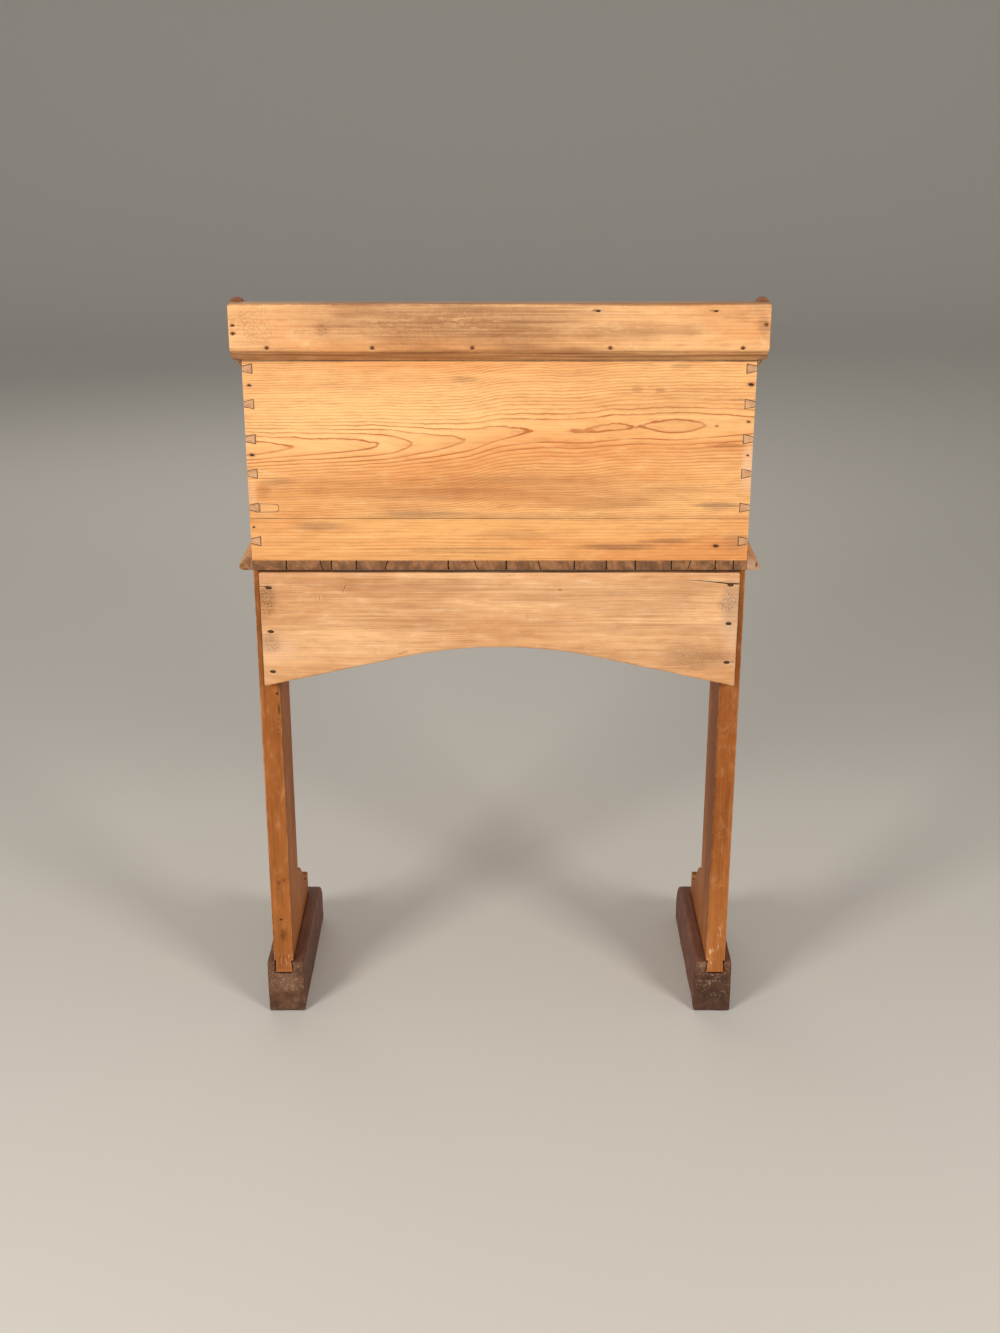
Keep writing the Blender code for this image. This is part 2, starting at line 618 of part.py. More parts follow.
def make_apron():
    """Makes the apron, whose lower edge is an arc that runs out into straight slopes."""
    half = APRON_LENGTH / 2
    crown = APRON_TOP - APRON_MIDDLE_HEIGHT
    spread = math.degrees(math.asin(ARCH_HALF_WIDTH / ARCH_RADIUS))
    arch = arc((0, crown - ARCH_RADIUS), (ARCH_RADIUS, ARCH_RADIUS), 90 - spread, 90 + spread, 16)
    run_out = half - ARCH_HALF_WIDTH
    end_height = arch[0][1] - run_out * math.tan(math.radians(spread))
    points = [(half, end_height)] + arch + [(-half, end_height), (-half, APRON_TOP), (half, APRON_TOP)]
    apron = extrude("apron", points, "Y", APRON_FRONT_Y, APRON_FRONT_Y + APRON_THICKNESS)
    soften(keep(apron, APRON_PINE), 0.0008)


# The lid, made flat about its hinge axis and then tilted
def make_lid():
    """Makes the lid's two boards and the cleats on their ends, and returns the empty on the hinge axis."""
    axis = bpy.data.objects.new("lid_axis", None)
    axis.location = (0, AXIS_Y, LEDGE_TOP)
    axis.rotation_euler.x = LID_SLOPE
    desk.objects.link(axis)

    rear = [(-HINGE_JOINT - LID_THICKNESS * math.tan(LID_SLOPE), -LID_THICKNESS), (-HINGE_JOINT, 0)]
    nose_top = arc((LID_NOSE - LID_LENGTH, -LID_NOSE), (LID_NOSE, LID_NOSE), 90, 180, 4)
    nose_foot = arc((LID_NOSE - LID_LENGTH, LID_NOSE - LID_THICKNESS), (LID_NOSE, LID_NOSE), 180, 270, 4)
    front = nose_top + nose_foot
    joint = -LID_UPPER_BOARD
    sections = {
        "upper": rear + [(joint + FIT / 2, 0), (joint + FIT / 2, -LID_THICKNESS)],
        "lower": [(joint - FIT / 2, -LID_THICKNESS), (joint - FIT / 2, 0)] + front,
    }
    shoulder = LID_WIDTH / 2 - CLEAT_WIDTH
    tip = shoulder + LID_TONGUE_LENGTH
    middle = -LID_THICKNESS / 2
    tongue = LID_TONGUE_THICKNESS / 2
    far = LID_LENGTH + PAST
    cheeks = []
    for side in SIDES.values():
        ends = sorted((side * (shoulder - FIT), side * (tip + PAST)))
        for low, high in ((middle + tongue, PAST), (-LID_THICKNESS - PAST, middle - tongue)):
            cheeks.append(((ends[0], -far, low), (ends[1], PAST, high)))
    cheek_tool = cutter(blocks("lid_tongue_cheeks", cheeks), axis)
    for name, section in sections.items():
        board = keep(extrude(f"lid_board_{name}", section, "X", -tip, tip), LID_PINE, axis)
        cut(board, cheek_tool)
    for name, side in SIDES.items():
        faces = sorted((side * shoulder, side * LID_WIDTH / 2))
        cleat = keep(extrude(f"lid_cleat_{name}", rear + front, "X", *faces), LID_PINE, axis)
        soften(cleat, 0.0008)
        groove_x = sorted((side * (shoulder - PAST), side * (tip + FIT)))
        groove = ((groove_x[0], -far, middle - tongue - FIT), (groove_x[1], PAST, middle + tongue + FIT))
        cut(cleat, cutter(blocks(f"cleat_groove_{name}", [groove]), axis))
    return axis


# Hinges
def leaf_outline(direction):
    """Returns a hinge leaf's section: a flat plate that runs out from a round knuckle at the axis."""
    open_angle = math.degrees(math.asin(LEAF_THICKNESS / KNUCKLE_RADIUS))
    knuckle = arc((0, 0), (KNUCKLE_RADIUS, KNUCKLE_RADIUS), 0, 360 - open_angle, 18)
    points = [(LEAF_WIDTH, 0)] + knuckle + [(LEAF_WIDTH, -LEAF_THICKNESS)]
    return [(direction * y, z) for y, z in points]


def make_hinges(lid_axis):
    """Makes two butt hinges, let in flush with the ledge and the lid, with their knuckles on the joint."""
    flat_axis = bpy.data.objects.new("ledge_axis", None)
    flat_axis.location = lid_axis.location
    desk.objects.link(flat_axis)
    wood = {"ledge": bpy.data.objects["top_ledge"], "lid": bpy.data.objects["lid_board_upper"]}
    frames = {"ledge": (flat_axis, 1), "lid": (lid_axis, -1)}
    third = HINGE_LENGTH / 3
    room = KNUCKLE_RADIUS + KNUCKLE_ROOM
    for name, side in SIDES.items():
        middle = side * HINGE_PLACE
        start, end = middle - HINGE_LENGTH / 2, middle + HINGE_LENGTH / 2
        gaps = {"ledge": [(start + third, end - third)],
                "lid": [(start - PAST, start + third), (end - third, end + PAST)]}
        bore = cutter(rod(f"hinge_bore_{name}", PIN_RADIUS + PIN_ROOM, start - PAST, end + PAST), flat_axis)
        spare = PIN_HEAD + FIT
        well = cutter(rod(f"knuckle_well_{name}", room, start - spare, end + spare, 24), flat_axis)
        for half, (frame, direction) in frames.items():
            section = leaf_outline(direction)
            leaf = keep(extrude(f"hinge_{name}_{half}_leaf", section, "X", start, end), HINGE_BRASS, frame)
            for number, (low, high) in enumerate(gaps[half]):
                tool = rod(f"knuckle_gap_{name}_{half}_{number}", room, low - FIT / 2, high + FIT / 2, 24)
                cut(leaf, cutter(tool, frame))
            cut(leaf, bore)
            recess_y = sorted((-direction * PAST, direction * (LEAF_WIDTH + FIT)))
            recess = ((start - FIT, recess_y[0], -LEAF_THICKNESS - FIT), (end + FIT, recess_y[1], PAST))
            cut(wood[half], cutter(blocks(f"leaf_recess_{name}_{half}", [recess]), frame))
            cut(wood[half], well)
            for number, offset in enumerate((-HINGE_SCREW_SPREAD / 2, HINGE_SCREW_SPREAD / 2), 1):
                place = (middle + offset, direction * HINGE_SCREW_FROM_AXIS, 0)
                size = (HINGE_SCREW_HEAD, HINGE_SCREW_RADIUS, HINGE_SCREW_LENGTH)
                make_screw(f"hinge_{name}_{half}_screw_{number}", place, size, (leaf, wood[half]), frame)
        pin = rod(f"hinge_{name}_pin", PIN_RADIUS, start - PIN_HEAD, end + PIN_HEAD)
        keep(pin, HINGE_BRASS, flat_axis)
        pin.data.shade_smooth()
        pin.data.set_sharp_from_angle(angle=math.radians(50))


# Screws and nails
def turned(name, profile, segments=12):
    """Turns a profile of (radius, height) points, given from top to bottom, about Z."""
    mesh = bpy.data.meshes.new(name)
    edges = [(number, number + 1) for number in range(len(profile) - 1)]
    mesh.from_pydata([(radius, 0, height) for radius, height in profile], edges, [])
    solid = bpy.data.objects.new(name, mesh)
    lathe = solid.modifiers.new("turned", "SCREW")
    lathe.steps = lathe.render_steps = segments
    lathe.use_merge_vertices = True
    lathe.merge_threshold = WELD
    return solid


def make_screw(name, place, size, holds, frame):
    """Drives a slotted countersunk screw straight down, and drills what it holds."""
    head, radius, length = size
    cone = head - radius
    screw = turned(name, [(0, 0), (head, 0), (radius, -cone), (radius, -length + 2 * radius), (0, -length)])
    screw.location = place
    keep(screw, SCREW_STEEL, frame)
    slot = blocks(f"{name}_slot", [((-head - PAST, -SCREW_SLOT_WIDTH / 2, -SCREW_SLOT_DEPTH),
                                    (head + PAST, SCREW_SLOT_WIDTH / 2, PAST))])
    slot.location = place
    cut(screw, cutter(slot, frame))
    hole = turned(f"{name}_hole", [(0, PAST), (head + FIT, PAST), (head + FIT, -FIT), (radius + FIT, -cone - FIT),
                                   (radius + FIT, -length - FIT), (0, -length - FIT)])
    hole.location = place
    hole = cutter(hole, frame)
    for solid in holds:
        cut(solid, hole)


def nail_block(name, growth, length, start):
    """Makes a four-sided taper along -Y from a start, as wide as a cut nail grown on every side."""
    edit = bmesh.new()
    sides = bmesh.ops.create_cube(edit, size=1)["verts"]
    for corner in sides:
        share = 1 if corner.co.y > 0 else NAIL_TIP
        corner.co.x *= NAIL_WIDTH * share + 2 * growth
        corner.co.z *= NAIL_HEIGHT * share + 2 * growth
        corner.co.y = start if corner.co.y > 0 else -length - growth
    return from_edit(name, edit)


def make_nail(name, place, length, holds):
    """Drives a cut nail forward from the back, its head just below the surface."""
    nail = nail_block(name, 0, length, -NAIL_SUNK)
    nail.location = place
    keep(nail, NAIL_IRON)
    hole = nail_block(f"{name}_hole", FIT, length, PAST)
    hole.location = place
    hole = cutter(hole)
    for solid in holds:
        cut(solid, hole)


def make_nails():
    """Nails the apron to the legs, and the gallery's rail to the ledge and the ears."""
    solids = bpy.data.objects
    number = 0
    for name, side in SIDES.items():
        for drop in APRON_NAIL_DROPS[name]:
            number += 1
            place = (side * (APRON_LENGTH / 2 - APRON_NAIL_INSET), APRON_FRONT_Y + APRON_THICKNESS, APRON_TOP - drop)
            make_nail(f"apron_nail_{number}", place, APRON_NAIL_LENGTH, (solids["apron"], solids[f"leg_{name}"]))
    rail = solids["gallery_back_rail"]
    rail_face = BACK_Y + FIT + RAIL_THICKNESS
    for number, share in enumerate(RAIL_NAIL_SHARES, 1):
        place = (share * RAIL_LENGTH / 2, rail_face, LEDGE_FOOT + LEDGE_THICKNESS / 2)
        make_nail(f"rail_nail_{number}", place, RAIL_NAIL_LENGTH, (rail, solids["top_ledge"]))
    number = 0
    for name, side in SIDES.items():
        for drop in RAIL_END_NAIL_DROPS[name]:
            number += 1
            place = (side * (RAIL_LENGTH / 2 - RAIL_END_NAIL_INSET), rail_face, RAIL_TOP - drop)
            make_nail(f"rail_end_nail_{number}", place, RAIL_NAIL_LENGTH, (rail, solids[f"gallery_side_{name}"]))


def make_leg_screws():
    """Screws the outer bottom boards down to the legs from inside the box."""
    solids = bpy.data.objects
    outer_boards = {"left": solids["bottom_board_1"], "right": solids["bottom_board_4"]}
    size = (LEG_SCREW_HEAD, LEG_SCREW_RADIUS, LEG_SCREW_LENGTH)
    first_y = forward(LEG_SETBACK) - LEG_DEPTH / 2
    for name, side in SIDES.items():
        x = side * (HALF_WIDTH - SIDE_THICKNESS - LEG_SCREW_FROM_SIDE)
        for number, y in enumerate((first_y, first_y - LEG_SCREW_SPREAD), 1):
            place = (x, y, BOX_HEIGHT_OFF_FLOOR + BOTTOM_THICKNESS)
            make_screw(f"leg_{name}_screw_{number}", place, size, (outer_boards[name], solids[f"leg_{name}"]), None)


make_box()
make_ledge_and_gallery()
make_moulding()
make_stand()
make_hinges(make_lid())
make_nails()
make_leg_screws()
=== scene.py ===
# %% [markdown]
# This lesson dresses an old school desk in pine, seen from behind. The boards, legs, feet, hinges and
# nails come ready made from the CAD model, at their real size and in their real place. What is left
# for Blender is what a century of use has left on them: the pine's figure, wax and grime, worn edges,
# cracks and rusty nails.

# %% Load the desk
import math
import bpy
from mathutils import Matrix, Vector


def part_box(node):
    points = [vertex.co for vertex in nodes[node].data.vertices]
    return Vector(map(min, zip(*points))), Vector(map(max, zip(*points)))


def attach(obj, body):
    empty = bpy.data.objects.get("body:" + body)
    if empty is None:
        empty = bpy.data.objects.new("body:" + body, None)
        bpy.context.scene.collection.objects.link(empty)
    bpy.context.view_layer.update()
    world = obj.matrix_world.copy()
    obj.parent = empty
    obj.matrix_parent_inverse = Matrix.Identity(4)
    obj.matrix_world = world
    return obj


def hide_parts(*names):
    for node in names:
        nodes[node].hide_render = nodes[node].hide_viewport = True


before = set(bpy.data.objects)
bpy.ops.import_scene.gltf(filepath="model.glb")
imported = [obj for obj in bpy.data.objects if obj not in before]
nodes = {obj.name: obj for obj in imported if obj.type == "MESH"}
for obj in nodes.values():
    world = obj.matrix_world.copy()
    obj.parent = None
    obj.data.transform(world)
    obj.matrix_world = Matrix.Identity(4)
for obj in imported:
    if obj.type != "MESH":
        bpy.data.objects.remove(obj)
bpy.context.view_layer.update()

from types import SimpleNamespace

import bmesh
import bpy
from mathutils import Vector

# %% [markdown]
# Every wood on this desk is drawn by shader nodes, and no picture is used. A material is a small net
# of nodes, so a few helpers keep the net readable: one adds a node, one feeds a socket with a number or
# with another node's output, and the rest are the few kinds of node that the woods are made of. A Mix
# node has sockets for every kind of value, so the ones for colours are named by their numbers.

# %% Helpers that draw a material's nodes
MIX_INPUTS = (0, 6, 7)
MIX_OUTPUT = 2


def add_node(tree, kind, **settings):
    """Adds a shader node and sets its options."""
    node = tree.nodes.new("ShaderNode" + kind)
    for option, value in settings.items():
        setattr(node, option, value)
    return node


def feed(tree, sockets, values):
    """Gives each socket a plain value, or links it to another node's output."""
    for socket, value in zip(sockets, values):
        if isinstance(value, bpy.types.NodeSocket):
            tree.links.new(value, socket)
        else:
            socket.default_value = value


def calc(tree, operation, *values):
    """One step of arithmetic on numbers."""
    node = add_node(tree, "Math", operation=operation)
    feed(tree, node.inputs, values)
    return node.outputs[0]


def times(tree, first, second):
    """Multiplies two numbers."""
    return calc(tree, "MULTIPLY", first, second)


def aim(tree, operation, *values):
    """One step of arithmetic on places or directions."""
    node = add_node(tree, "VectorMath", operation=operation)
    feed(tree, node.inputs, values)
    return node.outputs["Value" if operation in ("LENGTH", "DOT_PRODUCT") else "Vector"]


def fade(tree, value, low, high, start=0.0, end=1.0):
    """Goes smoothly from start to end while the value goes from low to high."""
    node = add_node(tree, "MapRange", interpolation_type="SMOOTHSTEP")
    feed(tree, node.inputs, (value, low, high, start, end))
    return node.outputs[0]


def blend(tree, share, first, second):
    """Mixes two colours."""
    node = add_node(tree, "Mix", data_type="RGBA")
    feed(tree, [node.inputs[number] for number in MIX_INPUTS], (share, first, second))
    return node.outputs[MIX_OUTPUT]


def paint(red, green, blue):
    """A colour as a paint chart gives it, from 0 to 255, on the even scale that light is reckoned in."""
    shares = [value / 255 for value in (red, green, blue)]
    even = [((share + 0.055) / 1.055) ** 2.4 if share > 0.04 else share / 12.92 for share in shares]
    return (*even, 1.0)


print("node helpers ready")

# %% [markdown]
# Wood is never even, so most of what follows is noise, stretched along the grain. Two small helpers
# take a place apart and put one together. The last one follows a drawn curve, which says how
# something changes along a board.

# %% Noise, places and drawn curves


def cloud(tree, place, scales, shift=0.0, detail=2.0):
    """Soft noise from 0 to 1, stretched by a scale for each direction."""
    moved = aim(tree, "MULTIPLY_ADD", place, scales, (shift, shift * 1.7, shift * 2.3))
    node = add_node(tree, "TexNoise")
    node.inputs["Scale"].default_value = 1.0
    node.inputs["Detail"].default_value = detail
    tree.links.new(moved, node.inputs["Vector"])
    return node.outputs[0]


def patches(tree, place, scales, shift, detail, low, high, start=0.0, end=1.0):
    """Patches of such noise, which go from start to end while the noise goes from low to high."""
    return fade(tree, cloud(tree, place, scales, shift, detail), low, high, start, end)


def split(tree, place):
    """Takes a place apart into its three numbers."""
    node = add_node(tree, "SeparateXYZ")
    tree.links.new(place, node.inputs[0])
    return node.outputs


def joined(tree, first, second, third=0.0):
    """Puts numbers together as one place."""
    node = add_node(tree, "CombineXYZ")
    feed(tree, node.inputs, (first, second, third))
    return node.outputs[0]


def drawn_curve(tree, place, points):
    """Follows a drawn curve: what it gives at each place along a board."""
    first, last = points[0][0], points[-1][0]
    values = [value for _, value in points]
    low, high = min(values), max(values) + 1e-6
    share = add_node(tree, "MapRange")
    feed(tree, share.inputs, (place, first, last, 0.0, 1.0))
    node = add_node(tree, "FloatCurve")
    spots = [((at - first) / (last - first), (value - low) / (high - low)) for at, value in points]
    curve = node.mapping.curves[0]
    curve.points[0].location, curve.points[1].location = spots[0], spots[-1]
    for spot in spots[1:-1]:
        curve.points.new(*spot)
    node.mapping.update()
    tree.links.new(share.outputs[0], node.inputs["Value"])
    return calc(tree, "MULTIPLY_ADD", node.outputs[0], high - low, low)


print("noise helpers ready")

# %% [markdown]
# A pine board's figure is where the saw met the year rings. A ring is a long cone round the tree's
# heart, so on a plain-sawn face the distance to the heart gives the whole pattern: straight lines far
# from it, and pointed arches and closed eyes over it, where the rings dip under the face. Two curves for
# each board say where the heart runs under the face and how deep it lies. A picture of wood would not
# carry round the board's edges, and this does. The late wood of a ring is drawn as a thin line, so its
# count is divided by how steeply the face cuts the rings.

# %% How a board's year rings are worked out
LATE_WOOD = 0.9
FLATTEST_CUT = 0.1
TEETH_SHARE = 0.3
JAG_IN_DEPTH = 0.35
LINE_RISES = -1.6
LINE_FALLS = 0.35


def swing(tree, board, scales, shift, reach):
    """A wandering that is as often to one side as to the other."""
    noise = cloud(tree, board, scales, shift, 3.0)
    return times(tree, calc(tree, "SUBTRACT", noise, 0.5), 2 * reach)


def ring_count(tree, spot, figure):
    """Counts the rings out to a point. Gives also how far that lies aside of the heart, and away."""
    teeth = swing(tree, spot.board, (150.0, 260.0, 260.0), 8.8, figure["jag"] * TEETH_SHARE)
    jag = calc(tree, "ADD", teeth, swing(tree, spot.board, (42.0, 75.0, 75.0), 4.7, figure["jag"]))
    waver = calc(tree, "ADD", jag, swing(tree, spot.board, (7.0, 20.0, 20.0), 3.1, figure["waver"]))
    heart = drawn_curve(tree, spot.along, figure["heart"])
    deep = calc(tree, "ADD", drawn_curve(tree, spot.along, figure["depth"]), spot.through)
    deep = calc(tree, "MULTIPLY_ADD", jag, JAG_IN_DEPTH, deep)
    off = calc(tree, "ADD", calc(tree, "SUBTRACT", spot.across, heart), waver)
    off = times(tree, off, figure["squeeze"])
    radius = aim(tree, "LENGTH", joined(tree, off, deep))
    beyond = calc(tree, "MAXIMUM", calc(tree, "SUBTRACT", radius, figure["crowds_from"]), 0.0)
    count = calc(tree, "MULTIPLY_ADD", radius, 1 / figure["ring"], -figure["first"] / figure["ring"])
    count = calc(tree, "MULTIPLY_ADD", times(tree, beyond, beyond), figure["crowding"], count)
    return count, off, radius


def ring_lines(tree, spot, figure):
    """Gives each year ring's thin dark line, from 0 to 1, and the softer shade that leads up to it."""
    count, off, radius = ring_count(tree, spot, figure)
    within = calc(tree, "FRACT", count)
    cut_through = aim(tree, "LENGTH", joined(tree, calc(tree, "DIVIDE", off, radius), FLATTEST_CUT))
    past = times(tree, calc(tree, "SUBTRACT", within, LATE_WOOD), figure["ring"])
    past = calc(tree, "DIVIDE", past, cut_through)
    rising = fade(tree, past, LINE_RISES * figure["line"], 0.0)
    falling = fade(tree, past, figure["line"], LINE_FALLS * figure["line"])
    line = times(tree, rising, falling)
    shade = times(tree, fade(tree, within, 0.25, LATE_WOOD), fade(tree, within, 0.99, 0.93))
    number = joined(tree, calc(tree, "FLOOR", count), 0.5)
    own = patches(tree, number, (0.73, 1, 1), 2.0, 2.0, 0.3, 0.7, 0.35, 1.0)
    aside = calc(tree, "ABSOLUTE", off)
    own = times(tree, own, fade(tree, aside, 0.03, 0.09, 1.0, figure["far_lines"]))
    own = calc(tree, "MAXIMUM", own, fade(tree, aside, 0.06, 0.03, 0.0, 0.9))
    along_line = patches(tree, spot.board, (14.0, 70.0, 70.0), 6.1, 3.0, 0.3, 0.6, 0.4, 1.0)
    return times(tree, line, times(tree, own, along_line)), shade


print(f"late wood begins at {LATE_WOOD:.0%} of a ring")

# %% [markdown]
# On top of the rings an old board shows much more. Edges are rubbed pale, joints fill with grime, and
# single stains, smears and knots sit at places of their own. How shut in a point is gives the grime in
# the joints, and also painted shade in inner corners and under overhangs. Wear is found by how
# sharply the surface turns there, so both follow the real shape and are right from every side. A
# single mark is an oval in space. Its outline is shaken a little, unless it is as thin as a line, and a
# large one breaks up along the grain as a rubbed-in stain does.

# %% Wear, grime and single marks
EDGE_REACH = 0.0022
JOINT_REACH = 0.006
SHAKEN_BY = (0.006, 0.0, 0.003)
SHAKEN_FROM = (-0.003, 0.0, -0.0015)
THIN_MARK = 0.002
LARGE_MARK = 0.012
MARK_DEPTH = 0.006
MARK_CORE = 0.25
BROKEN_BY = -0.8
BROKEN_FROM = 0.55


def turning(tree):
    """Finds edges, by how far the surface turns within a few millimetres."""
    rounded = add_node(tree, "Bevel", samples=4)
    rounded.inputs["Radius"].default_value = EDGE_REACH
    flat = add_node(tree, "NewGeometry")
    same = aim(tree, "DOT_PRODUCT", rounded.outputs[0], flat.outputs["True Normal"])
    return fade(tree, same, 0.99, 0.86)


def shut_in(tree):
    """Finds joints and corners, by how little open air is near a point."""
    near = add_node(tree, "AmbientOcclusion", samples=6)
    near.inputs["Distance"].default_value = JOINT_REACH
    return fade(tree, near.outputs["AO"], 0.7, 0.2)


def shaken(tree, place):
    """Shifts places at random by a few millimetres, which makes a mark's outline uneven."""
    node = add_node(tree, "TexNoise")
    node.inputs["Scale"].default_value = 140.0
    node.inputs["Detail"].default_value = 4.0
    tree.links.new(place, node.inputs["Vector"])
    shift = aim(tree, "MULTIPLY_ADD", node.outputs["Color"], SHAKEN_BY, SHAKEN_FROM)
    return aim(tree, "ADD", place, shift)


def away_from(tree, place, middle, halves):
    """How far out of an oval a place lies, where 1 is its outline."""
    spread = tuple(1 / half for half in halves)
    return aim(tree, "LENGTH", aim(tree, "MULTIPLY", aim(tree, "SUBTRACT", place, middle), spread))


def marked(tree, spot, broken, pattern, marks):
    """Lays oval marks: the middle, the half sizes and the strength of each. Large ones break up."""
    total = 0.0
    uneven = shaken(tree, spot.place)
    for middle, halves, strength in marks:
        place = spot.place if min(halves) < THIN_MARK else uneven
        off = away_from(tree, place, middle, halves)
        if max(halves) > LARGE_MARK:
            off = calc(tree, "ADD", off, BROKEN_FROM)
            off = calc(tree, "MULTIPLY_ADD", broken, BROKEN_BY, off)
            strength = times(tree, strength, pattern)
        total = calc(tree, "MAXIMUM", fade(tree, off, 1.0, MARK_CORE, 0.0, strength), total)
    return total


def mark_on(face, x, z, half_x, half_z, strength, half_y=MARK_DEPTH):
    """A mark on a face that looks to the rear."""
    return (x, face, z), (half_x, half_y, half_z), strength


def marks_on(face, *rows):
    """Several marks on one face: x, z, half width, half height, strength and sometimes half depth."""
    return [mark_on(face, *row) for row in rows]


print("wear, grime and marks are ready")

# %% [markdown]
# The box is dovetailed at its corners, and a century of dirt has drawn each joint in black. The pins are
# evenly spaced, so one wrapped height stands for all of them, and the distance to the slanting edge of
# the nearest pin gives the line.

# %% The black lines round the dovetails
PIN_FIRST = 0.7013
PIN_PITCH = 0.0445
PIN_HALF_OUTSIDE = 0.00325
PIN_HALF_INSIDE = 0.006
PIN_LENGTH = 0.0125
OVERRUN_WEIGHT = 9.0
box_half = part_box("back_board_upper")[1].x
pin_root = box_half - PIN_LENGTH
back_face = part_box("back_board_upper")[1].y
back_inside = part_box("back_board_upper")[0].y


def kept_to(tree, distance, overrun):
    """Lets a line end where something runs over, by adding to the distance there."""
    over = calc(tree, "MAXIMUM", overrun, 0.0)
    return calc(tree, "MULTIPLY_ADD", over, OVERRUN_WEIGHT, calc(tree, "ABSOLUTE", distance))


def dovetail_lines(tree, spot):
    """Gives the dirt in the box's rear corner joints, on the back and on the sides."""
    out = calc(tree, "ABSOLUTE", spot.xyz[0])
    rise = calc(tree, "SUBTRACT", spot.xyz[2], PIN_FIRST)
    rise = calc(tree, "WRAP", rise, PIN_PITCH / 2, -PIN_PITCH / 2)
    rise = calc(tree, "ABSOLUTE", rise)
    half = add_node(tree, "MapRange")
    feed(tree, half.inputs, (out, pin_root, box_half, PIN_HALF_INSIDE, PIN_HALF_OUTSIDE))
    past_edge = calc(tree, "SUBTRACT", rise, half.outputs[0])
    past_root = calc(tree, "SUBTRACT", out, pin_root)
    slant = kept_to(tree, past_edge, times(tree, past_root, -1.0))
    root = kept_to(tree, past_root, past_edge)
    on_back = fade(tree, calc(tree, "MINIMUM", slant, root), 0.001, 0.0003)
    on_back = times(tree, on_back, fade(tree, spot.facing[1], 0.6, 0.8))
    behind = calc(tree, "SUBTRACT", spot.xyz[1], back_inside)
    past_tail = calc(tree, "SUBTRACT", rise, PIN_HALF_OUTSIDE)
    tail = kept_to(tree, past_tail, times(tree, behind, -1.0))
    shoulder = kept_to(tree, behind, calc(tree, "SUBTRACT", PIN_HALF_OUTSIDE, rise))
    on_side = fade(tree, calc(tree, "MINIMUM", tail, shoulder), 0.0009, 0.0003)
    sideways = calc(tree, "ABSOLUTE", spot.facing[0])
    on_side = times(tree, on_side, fade(tree, sideways, 0.6, 0.8))
    broken = patches(tree, spot.place, (90.0,) * 3, 12.3, 3.0, 0.28, 0.5, 0.25, 0.85)
    return times(tree, calc(tree, "MAXIMUM", on_back, on_side), broken)


print(f"pins from {pin_root:.4f} to {box_half:.4f} m out, {PIN_PITCH * 1000:.1f} mm apart")

# %% [markdown]
# All woods of the desk share one recipe, with their own figure and colours. A place in the wood is first
# given as a board sees it: along the grain, across it, and how far under the shown face. The lid slopes,
# so its places are laid flat first.

# %% A place in the wood, as a board sees it
AXES = {"X": 0, "Y": 1, "Z": 2}
LID_SLOPE = math.radians(14)
HINGE_LINE = (0.0, 0.1046, 0.9626)


def laid_flat(tree, place, centre):
    """Turns places on the sloping lid back to level, so that its grain runs true."""
    node = add_node(tree, "VectorRotate", rotation_type="X_AXIS")
    node.inputs["Center"].default_value = centre
    node.inputs["Angle"].default_value = -LID_SLOPE
    tree.links.new(place, node.inputs["Vector"])
    return node.outputs[0]


def board_place(tree, grain, face, sloped):
    """Gives a point's place in the board. The grain names the axes along, across and through it."""
    source = add_node(tree, "TexCoord")
    place, turned = source.outputs["Object"], source.outputs["Normal"]
    if sloped:
        place = laid_flat(tree, place, HINGE_LINE)
        turned = laid_flat(tree, turned, (0, 0, 0))
    xyz, facing = split(tree, place), split(tree, turned)
    along, across, deep = (xyz[AXES[axis]] for axis in grain)
    through = calc(tree, "ABSOLUTE", calc(tree, "SUBTRACT", deep, face))
    end = fade(tree, calc(tree, "ABSOLUTE", facing[AXES[grain[0]]]), 0.6, 0.85)
    return SimpleNamespace(place=place, xyz=xyz, facing=facing, along=along, across=across,
                           through=through, board=joined(tree, along, across, deep), end=end)


print(f"the lid slopes by {math.degrees(LID_SLOPE):.0f} degrees")

# %% [markdown]
# Now the colour, from the tree outwards: a drift of paler and warmer zones, streaks, paler zones that
# are a painted glow of light, the ring lines with their shade, fibres along the grain, and resin
# flecks. End grain is darker and full of pores, and its rings are drawn by grime.

# %% A board as it left the plane


def end_grain(tree, spot, line, colours):
    """The colour of a board's sawn ends, and the pores in them."""
    pores = cloud(tree, spot.place, (1300.0,) * 3, 2.2, 2.0)
    blotch = patches(tree, spot.place, (70.0,) * 3, 2.9, 5.0, 0.36, 0.64, 0.0, 0.7)
    colour = blend(tree, blotch, colours["end"], colours["end_dark"])
    colour = blend(tree, fade(tree, pores, 0.45, 0.7, 0.0, 0.5), colour, colours["grime"])
    return blend(tree, times(tree, line, 0.5), colour, colours["grime"]), pores


